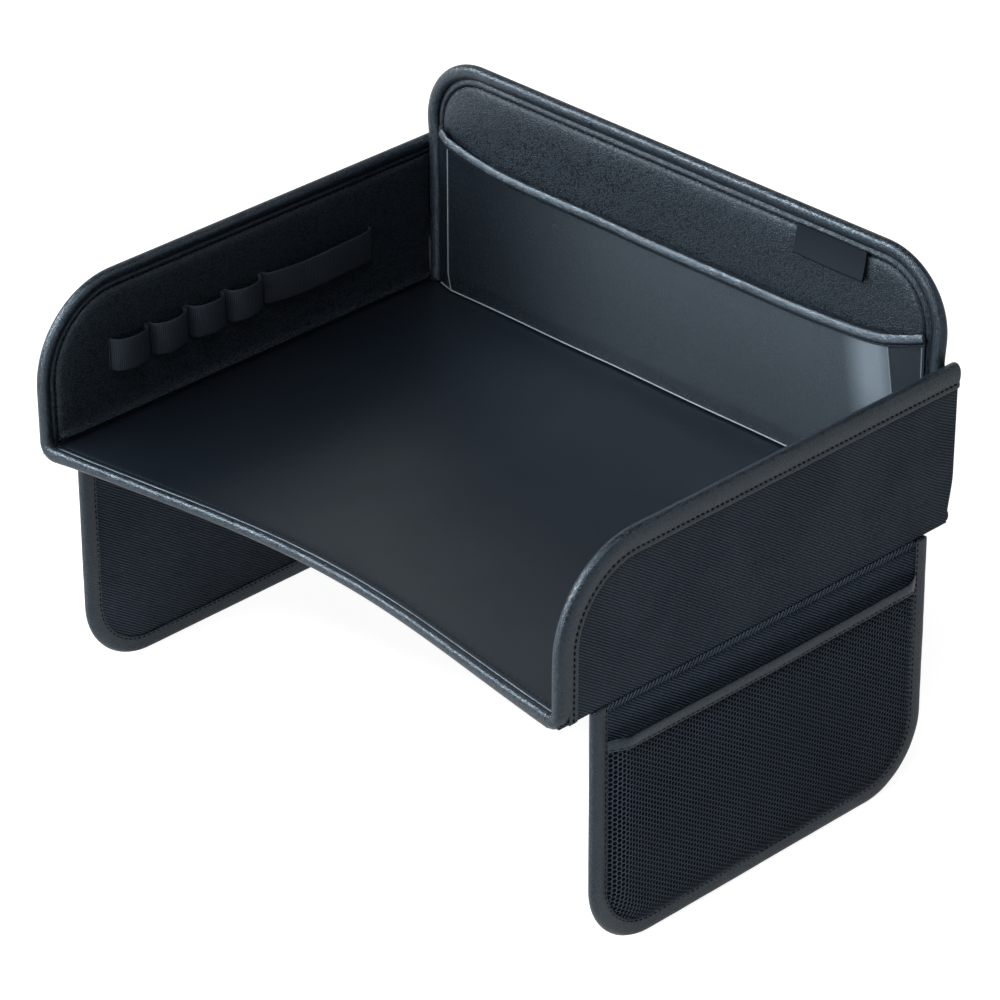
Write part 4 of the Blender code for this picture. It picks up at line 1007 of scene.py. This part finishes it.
loops = {"start": -105.5, "pitch": 29.5, "count": 4, "gap": 3.0, "depth": 8.0, "longLength": 86.5,
         "longDepth": 6.5, "tail": 1.2, "width": 20.5, "thick": 1.0, "height": 48.7, "base": 6.15,
         "curl": 0.35,
         "sway": 0.25, "tackPitch": 2.2, "tackLength": 1.7, "tackRadius": 0.25}


def loopLine():
    # (u, w) of the strap's middle: half a flattened arch for each loop, with a flat stitch between
    start = loops["start"]
    us, ws = [np.array([start - loops["tail"], start - 0.4])], [np.zeros(2)]
    for k in range(loops["count"] + 1):
        small = k < loops["count"]
        length = loops["pitch"] - loops["gap"] if small else loops["longLength"]
        t = np.linspace(0, np.pi, 25 if small else 61)
        us.append(start + length / 2 * (1 - np.cos(t)))
        ws.append(loops["depth"] * np.sin(t) ** 0.75 if small else loops["longDepth"] * np.sin(t) ** 0.62)
        start += loops["pitch"] if small else length
    us.append(np.array([start + 0.4, start + loops["tail"]]))
    ws.append(np.zeros(2))
    return np.stack([np.concatenate(us), np.concatenate(ws)], 1)


def makePenLoops():
    # a rounded strap section carried along the arches, its edges curling back by the square of the offset;
    # bar tacks between the loops are short threads up and down the strap
    middle = loopLine()
    run = runOf(middle)
    at = np.linspace(0, run[-1], 420)
    line = valuesAt(middle, run, at)
    normal = normalsOf(line)
    half, t = loops["width"] / 2, loops["thick"] / 2
    section = rounded([(-half, -t), (-half / 2, -t), (half / 2, -t), (half, -t), (half, t), (half / 2, t),
                       (-half / 2, t), (-half, t)])
    off = section[:, 1] - loops["curl"] * (section[:, 0] / half) ** 2
    base = loops["base"] + t
    uu = line[:, :1] + normal[:, :1] * off[None]
    ww = base + np.maximum(line[:, 1:] + normal[:, 1:] * off[None], -t)
    vv = loops["height"] + np.repeat(section[None, :, 0], len(line),
                                     0) + loops["sway"] * np.sin(line[:, :1] / 9)
    piece = tubeSolid("penLoops", placeSide(-1)(uu, vv, ww), materials["loopElastic"],
                      paired(at[:, None], vv))
    settle(piece, "left_wall", "elastic", "pen_loops")
    reach = half - 0.6
    for k in range(loops["count"]):
        where = loops["start"] + loops["pitch"] * (k + 1) - loops["gap"] / 2
        path = np.stack([np.full(12, where),
                         np.linspace(loops["height"] + reach, loops["height"] - reach, 12)], 1)
        stitchRow(f"penLoopTack{k}", "left_wall", path, np.tile([1.0, 0.0], (12, 1)), 0, base + t + 0.1,
                  placeSide(-1), loops["tackRadius"], "elastic", loops["tackPitch"], loops["tackLength"])


pocket = {"half": 193, "top": 103, "endRise": 13, "power": 6, "foot": 8.3, "stand": 5.0, "low": 0.5,
          "leftFold": -180.5, "rightFold": 170.5, "foldLean": 0.155, "foldMost": 186, "rightEnd": 191.5,
          "fold": 0.42, "thick": 0.35, "flat": (0.388, 0.112), "area": 0.0375}


def pocketTop(x):
    # the mouth's height: level, and rising by the sixth power of x towards both ends
    return pocket["top"] + pocket["endRise"] * np.abs(x / pocket["half"]) ** pocket["power"]


def rightFold(z):
    # the x of the right fold, which leans out by a constant share of the depth below the mouth
    return np.clip(pocket["rightFold"] + (pocket["top"] - z) * pocket["foldLean"], 0, pocket["foldMost"])


def pocketStand(x, z):
    # how far the film stands off the panel: flat between its two folds, falling back along straight
    # gussets beyond them, with slow waves and a soft bulge before the right fold
    fold = rightFold(z)
    left = np.clip((x + pocket["half"]) / (pocket["leftFold"] + pocket["half"]), 0, 1)
    right = np.clip((pocket["half"] - x) / (pocket["half"] - fold), 0, 1) ** 1.15
    low = np.clip((z - pocket["foot"]) / 12, 0, 1)
    bulge = 1.6 * np.exp(-((x - fold + 16) / 13) ** 2) * np.clip((118 - z) / 50, 0, 1)
    wave = 0.3 * np.sin(x / 31 + 0.6) * low + 0.22 * np.sin(x / 17 + z / 40)
    return pocket["low"] + (pocket["stand"] * (0.6 + 0.4 * low) + bulge + wave) * left * right


def paintedFilmSheen(x, z):
    # painted light on the film: a pale share that grows from left to right and upwards, painted shade left
    # and low down giving way to a painted sheen, with a bright painted reflection before the right fold
    fold = rightFold(z)
    reflectionBand = np.clip((x - (fold - 36)) / 18, 0, 1) * (x < fold) * np.clip((fold - x + 6) / 14, 0.55, 1)
    paintedSheen = 0.19 * smoothStep(np.clip((x + 165) / 150, 0, 1)) * (0.35 + 0.65 * np.clip(z / 85, 0, 1))
    paintedSheen = paintedSheen + 0.55 * reflectionBand * np.clip((z - 15) / 60, 0.25, 1)
    return np.clip(np.where(x > fold, 0.045, paintedSheen), 0, 1)


def makePocketFilm():
    # columns gather on the leaning right fold: x is bent so that the column at rightFold stays on it
    t = np.concatenate([np.linspace(0, 0.04, 12)[:-1], np.linspace(0.04, 0.86, 120)[:-1],
                        np.linspace(0.86, 1, 60)])
    s = np.linspace(0, 1, 60)
    x0 = -pocket["half"] + 2 * pocket["half"] * t
    z = pocket["foot"] + (pocketTop(x0)[:, None] - 2.5 - pocket["foot"]) * s[None]
    ease = np.clip(1 - abs(x0 - pocket["rightFold"]) / 22, 0, 1)[:, None]
    x = x0[:, None] + (rightFold(z) - pocket["rightFold"]) * ease
    w = tray["crown"] + pocketStand(x, z)
    front, back = [placeBack(x, z - tray["backFoot"], w - drop) for drop in (0, pocket["thick"])]
    # the mark carries the film's painted sheen, painted shade and painted reflection
    piece = sheetSolid("clearPocketFilm", front, back, materials["clearFilm"], np.stack([x, z], -1), 14,
                       paintedFilmSheen(x, z))
    settle(piece, "back_wall", "film", "clear_pocket")


def makeFilmCreases():
    # creased edges of the film: a thin bead down each fold, down the right weld and along the foot; their
    # pale tone is a painted highlight
    s = np.linspace(0, 1, 60)

    def upTo(x):
        return pocket["foot"] + (pocketTop(x) - 5.5 - pocket["foot"]) * s
    height = upTo(pocket["rightFold"])
    lines = {"Left": (np.full(60, pocket["leftFold"]), upTo(pocket["leftFold"])),
             "Right": (rightFold(height), height),
             "Weld": (np.full(60, pocket["rightEnd"]), upTo(pocket["rightEnd"])),
             "Foot": (np.linspace(-192, 192, 200), np.full(200, pocket["foot"] - 0.3))}
    angle = circle(8)
    for label, (lx, lz) in lines.items():
        level = label == "Foot"
        r = pocket["fold"] * (1.15 if level else 1.0)
        u = lx[:, None] + (not level) * r * np.cos(angle)
        v = lz[:, None] + level * r * np.cos(angle)
        w = (tray["crown"] + pocketStand(lx, lz))[:, None] + r * np.sin(angle)
        bead = tubeSolid("filmCrease" + label, placeBack(u, v - tray["backFoot"], w), materials["filmFoldHighlight"],
                         paired((lx + lz)[:, None], angle[None]))
        settle(bead, "back_wall", "film")


mouthTape = {"section": [(7.2, 0.35), (7.3, 0.95), (6.7, 1.3), (6.0, 1.15), (5.2, 2.2), (4.2, 2.6),
                         (2.2, 1.9),
                         (0.6, 0.95), (-0.1, 0.1), (0.3, -0.9), (1.6, -1.2), (6.8, -1.0), (6.8, -0.5),
                         (1.3, -0.4),
                         (1.3, 0.2)], "from": -188.5, "to": 192, "stitch": 6.0, "stitchLevel": 1.2,
             "stitchRadius": 0.30, "wobble": 0.10, "dome": 1.0}


def makeMouthTape():
    # folded tape along the pocket's mouth, on the film's own height
    u = np.linspace(mouthTape["from"], mouthTape["to"], 230)
    path = np.stack([u, pocketTop(u) - tray["backFoot"]], 1)[::-1]
    inward = normalsOf(path)
    fine, fineIn = endPadded(path, inward)

    def placeOut(u, v, w):
        return placeBack(u, v, w + tray["crown"] + pocketStand(u, v + tray["backFoot"]))
    tape = sweptSolid("clearPocketTape", fine, fineIn, mouthTape["section"], placeOut, mouthTape["wobble"],
                      77,
                      mouthTape["dome"])
    settle(tape, "back_wall", "binding", "clear_pocket_binding")
    stitchRow("clearPocketStitches", "back_wall", path, inward, mouthTape["stitch"], mouthTape["stitchLevel"],
              placeOut, mouthTape["stitchRadius"])


tag = {"left": 97, "right": 149, "top": 150.5, "bottom": 133.8, "stand": 2.6, "thick": 0.4, "gap": 0.65,
       "foot": 0.35, "spread": 0.9, "sway": 0.25}


def makeTag():
    # a folded woven strip: a front and a back leaf from the seam down, joined by a round fold that lifts off
    t = np.linspace(0, 1, 26)
    z = tag["top"] + (tag["bottom"] - tag["top"]) * t
    lift = tag["foot"] + tag["stand"] * t ** 1.7
    bend = np.linspace(0, np.pi, 9)[1:-1]
    halfGap = (tag["gap"] + tag["spread"]) / 2
    line = np.concatenate([np.stack([z, lift + tag["gap"] + tag["spread"] * t], 1),
                           np.stack([z[-1] - halfGap * np.sin(bend), lift[-1] + halfGap + halfGap
                                     * np.cos(bend)], 1),
                           np.stack([z, lift], 1)[::-1]])
    normal = normalsOf(line) * tag["thick"] / 2
    x = np.linspace(tag["left"], tag["right"], 30)
    sway = tag["sway"] * np.sin(x / 9)[:, None] * np.clip((tag["top"] - line[:, 0]) / 17, 0, 1)
    xx = np.repeat(x[:, None], len(line), 1)
    front, back = [placeBack(xx, line[:, 0] + sign * normal[:, 0] - tray["backFoot"] + 0 * xx,
                             tray["crown"] + line[:, 1] + sign * normal[:, 1] + sway) for sign in (1, -1)]
    piece = sheetSolid("sideTag", front, back, materials["tagSatin"],
                       np.stack([xx, runOf(line) + 0 * xx], -1))
    settle(piece, "back_wall", "tag", "side_tag")


flap = {"radius": 1.7, "foldLow": 30, "from": -0.6, "reach": 62, "low": 30, "high": 81, "corner": 8,
        "shoulder": 9.5,
        "shoulderTop": 96, "shoulderCorner": 4, "behind": 0.3,
        "rings": ((0.0, 0.55), (0.0, 0.75), (0.3, 1.3), (1.2, 1.5), (3, 1.5))}


def makeFlap(side, name):
    # a plate of cloth behind the back wall with a rounded edge, and a bead of cloth round its hinge line
    def place(u, v, w):
        return placeSide(side)(tray["rearFace"] + flap["behind"] + flap["radius"] + w, v, u + flap["radius"])
    start, reach, shoulder = flap["from"], flap["reach"], flap["shoulder"]
    shape = outline([(start, flap["low"]), (reach, flap["low"]), (reach, flap["high"]),
                     (shoulder, flap["high"]),
                     (shoulder, flap["shoulderTop"]), (start, flap["shoulderTop"])],
                    [0, flap["corner"], flap["corner"], 0, flap["shoulderCorner"], 0], [0] * 6, 30, 10)
    size, middle = (shape.max(0) - shape.min(0)) / 2, (shape.min(0) + shape.max(0)) / 2
    flat = np.concatenate([middle + (shape - middle) * (1 - grow / size) for grow, _ in flap["rings"]])
    level = np.repeat([level for _, level in flap["rings"]], len(shape))
    n, rings = len(shape), len(flap["rings"])
    faces = gridFaces(rings, n, True) + [tuple(range(n)), tuple(range((rings - 1) * n, rings * n))]
    piece = makePiece(name + "CornerFlap", place(flat[:, 0], flat[:, 1], level), faces,
                      materials["wallCloth"], flat)
    settle(piece, name + "_flap", "woven", name + "_corner_flap")
    angle = circle(20)
    v = np.linspace(flap["foldLow"], flap["high"], 60)
    uu, vv = np.broadcast_arrays(flap["radius"] * np.cos(angle)[None], v[:, None])
    points = place(uu, vv, np.broadcast_to(flap["radius"] * np.sin(angle)[None], vv.shape))
    bead = tubeSolid(name + "FlapFold", points, materials["wallCloth"],
                     paired((angle * flap["radius"])[None], vv))
    settle(bead, name + "_flap", "woven")


hinge = {"half": 209.3, "y": 154.7, "z": 3.9, "halfY": 1.1, "halfZ": 3.3, "dome": 1.2}


def makeRearHinge():
    # the cloth that joins the floor to the back wall: an ellipse (y, z) carried along x, drawn in at its ends
    x = hinge["half"] * np.sin(np.linspace(-np.pi / 2, np.pi / 2, 120))
    angle = circle(20)
    pull = domed(hinge["half"] - abs(x), hinge["dome"], 0.05)[:, None]
    grid = np.broadcast_arrays(x[:, None], hinge["y"] + hinge["halfY"] * np.cos(angle)[None] * pull,
                               hinge["z"] + hinge["halfZ"] * np.sin(angle)[None] * pull)
    piece = tubeSolid("rearHingeCloth", np.stack(grid, -1), materials["wallCloth"],
                      paired(x[:, None], (angle * hinge["halfZ"])[None]))
    settle(piece, "tray_floor", "woven")


bridge = {"from": (200.5, 3.1), "to": (208.3, 4.6), "front": -150, "rear": 152, "thick": 0.5, "sag": 0.9}


def makeSideBridge(side, name):
    # the cloth that joins floor and side wall: a straight strip (x, z) with a half-sine sag, carried along y
    share = np.linspace(0, 1, 9)[None]
    y = np.linspace(bridge["front"], bridge["rear"], 90)[:, None]
    (x0, z0), (x1, z1) = bridge["from"], bridge["to"]
    x = x0 + (x1 - x0) * share
    z = z0 + (z1 - z0) * share - bridge["sag"] * np.sin(np.pi * share)
    top, below = [np.stack(np.broadcast_arrays(side * x, y, z - drop), -1) for drop in (0.0, bridge["thick"])]
    piece = sheetSolid(name + "HingeCloth", top, below, materials["wallCloth"], paired(x, y))
    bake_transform(piece)


for side, name in ((-1, "left"), (1, "right")):
    for make in (makeSidePanel, makeSideCover, makeSideBinding, makeElbow, makeWingCovers, makeWingBinding,
                 makeWingSeam, makeNet, makePocketTape, makeFlap, makeSideBridge):
        make(side, name)
    print(name, "wall and wing made")
for make in (makeBackPanel, makeBackCover, makeBackBinding, makePocketFilm, makeFilmCreases, makeMouthTape,
             makeTag,
             makeFloorPanel, makeFloorCover, makeFloorBinding, makeRearHinge, makePenLoops):
    make()
for node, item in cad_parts.items():
    tape = "hookTape" if node.endswith(("_hook_tape", "_loop_tape")) else None
    finish = "stiffener" if node.endswith("_board") else tape
    if finish:
        item.data.materials.clear()
        item.data.materials.append(materials[finish])
print("pieces made")

camera = {"right": (0.70155, 0.71261, -0.00359), "up": (-0.35106, 0.34998, 0.86849),
          "back": (0.62015, -0.60803, 0.4957), "place": (1.722, -1.6801, 1.365), "lens": 175.131}
lens = bpy.data.cameras.new("studioCamera")
lens.lens = camera["lens"]
lens.clip_end = 50
view = bpy.data.objects.new("studioCamera", lens)
bpy.context.scene.collection.objects.link(view)
view.matrix_world = Matrix([[camera[key][k] for key in ("right", "up", "back", "place")] for k in range(3)] +
                           [[0, 0, 0, 1]])
bpy.context.scene.camera = view

studio = {"floorHeight": -0.1595, "floorSize": 6.0, "worldStrength": 0.01, "floorGloss": 0.55,
          "floorGlow": 0.93,
          "floorColour": 0.35, "lowGloss": 0.87, "highGloss": 0.0, "frontShare": 0.55, "frontFrom": -0.35,
          "frontTo": 0.15, "turnFrom": 0.45, "turnTo": 0.75}
lamps = {  # place, aim, width and height in metres, power in watts
    "keyStrip": ((-1.6, -1.44, 1.39), (-1.6, 0, 0), (2.8, 0.28), 150),
    "topBox": ((0.75, -0.77, 1.87), (0, 0, 0), (0.8, 0.8), 22),
    "frontBox": ((0.1, -2.3, 0.35), (0, 0, 0.05), (0.8, 0.5), 20),
}


def lightPathMask(tree, gloss):
    # 1 for rays of the camera and through clear film, a share of it for gloss, 0 for all other light
    path = tree.nodes.new("ShaderNodeLightPath")
    seen = mathNode(tree, "MAXIMUM", path.outputs["Is Camera Ray"], path.outputs["Is Transmission Ray"])
    return mathNode(tree, "MAXIMUM", seen, mathNode(tree, "MULTIPLY", path.outputs["Is Glossy Ray"], gloss))


def makeFloor():
    # a pale floor that glows just enough for the camera to come out white, and still takes the shadow
    material = bpy.data.materials.new("paleBackdrop")
    material.use_nodes = True
    tree = material.node_tree
    shader = tree.nodes["Principled BSDF"]
    shader.inputs["Base Color"].default_value = (studio["floorColour"],) * 3 + (1,)
    shader.inputs["Roughness"].default_value = 0.9
    shader.inputs["Specular IOR Level"].default_value = 0.0
    shader.inputs["Emission Color"].default_value = (1, 1, 1, 1)
    glow = mathNode(tree, "MULTIPLY", lightPathMask(tree, studio["floorGloss"]), studio["floorGlow"])
    tree.links.new(glow, shader.inputs["Emission Strength"])
    size, height = studio["floorSize"], studio["floorHeight"]
    mesh = bpy.data.meshes.new("studioFloor")
    mesh.from_pydata([(-size, -size, height), (size, -size, height), (size, size, height),
                      (-size, size, height)],
                     [], [(0, 1, 2, 3)])
    mesh.materials.append(material)
    floor = bpy.data.objects.new("studioFloor", mesh)
    bpy.context.scene.collection.objects.link(floor)


def makeLamps():
    # one area lamp for each row, turned to face its aim
    for name, (place, aim, size, power) in lamps.items():
        data = bpy.data.lights.new(name, "AREA")
        data.shape = "RECTANGLE"
        data.size, data.size_y = size
        data.energy = power
        lamp = bpy.data.objects.new(name, data)
        bpy.context.scene.collection.objects.link(lamp)
        lamp.location = place
        lamp.rotation_euler = (Vector(aim) - Vector(place)).to_track_quat("-Z", "Y").to_euler()


def makeWorld():
    # white to the camera, almost dark as a light, and in gloss bright only low down and behind the tray
    world = bpy.data.worlds.new("studioWorld")
    world.use_nodes = True
    tree = world.node_tree
    background = tree.nodes["Background"]
    background.inputs["Color"].default_value = (1, 1, 1, 1)
    split = tree.nodes.new("ShaderNodeSeparateXYZ")
    tree.links.new(tree.nodes.new("ShaderNodeTexCoord").outputs["Generated"], split.inputs[0])
    gloss = rangeNode(tree, split.outputs["Z"], studio["turnFrom"], studio["turnTo"], studio["lowGloss"],
                      studio["highGloss"])
    behind = rangeNode(tree, split.outputs["Y"], studio["frontFrom"], studio["frontTo"], studio["frontShare"],
                       1.0)
    mask = lightPathMask(tree, mathNode(tree, "MULTIPLY", gloss, behind))
    strength = rangeNode(tree, mask, 0.0, 1.0, studio["worldStrength"], 1.0, smooth=False)
    tree.links.new(strength, background.inputs["Strength"])
    bpy.context.scene.world = world


makeFloor()
makeLamps()
makeWorld()
bpy.context.scene.view_settings.view_transform = "Standard"
print("studio made")
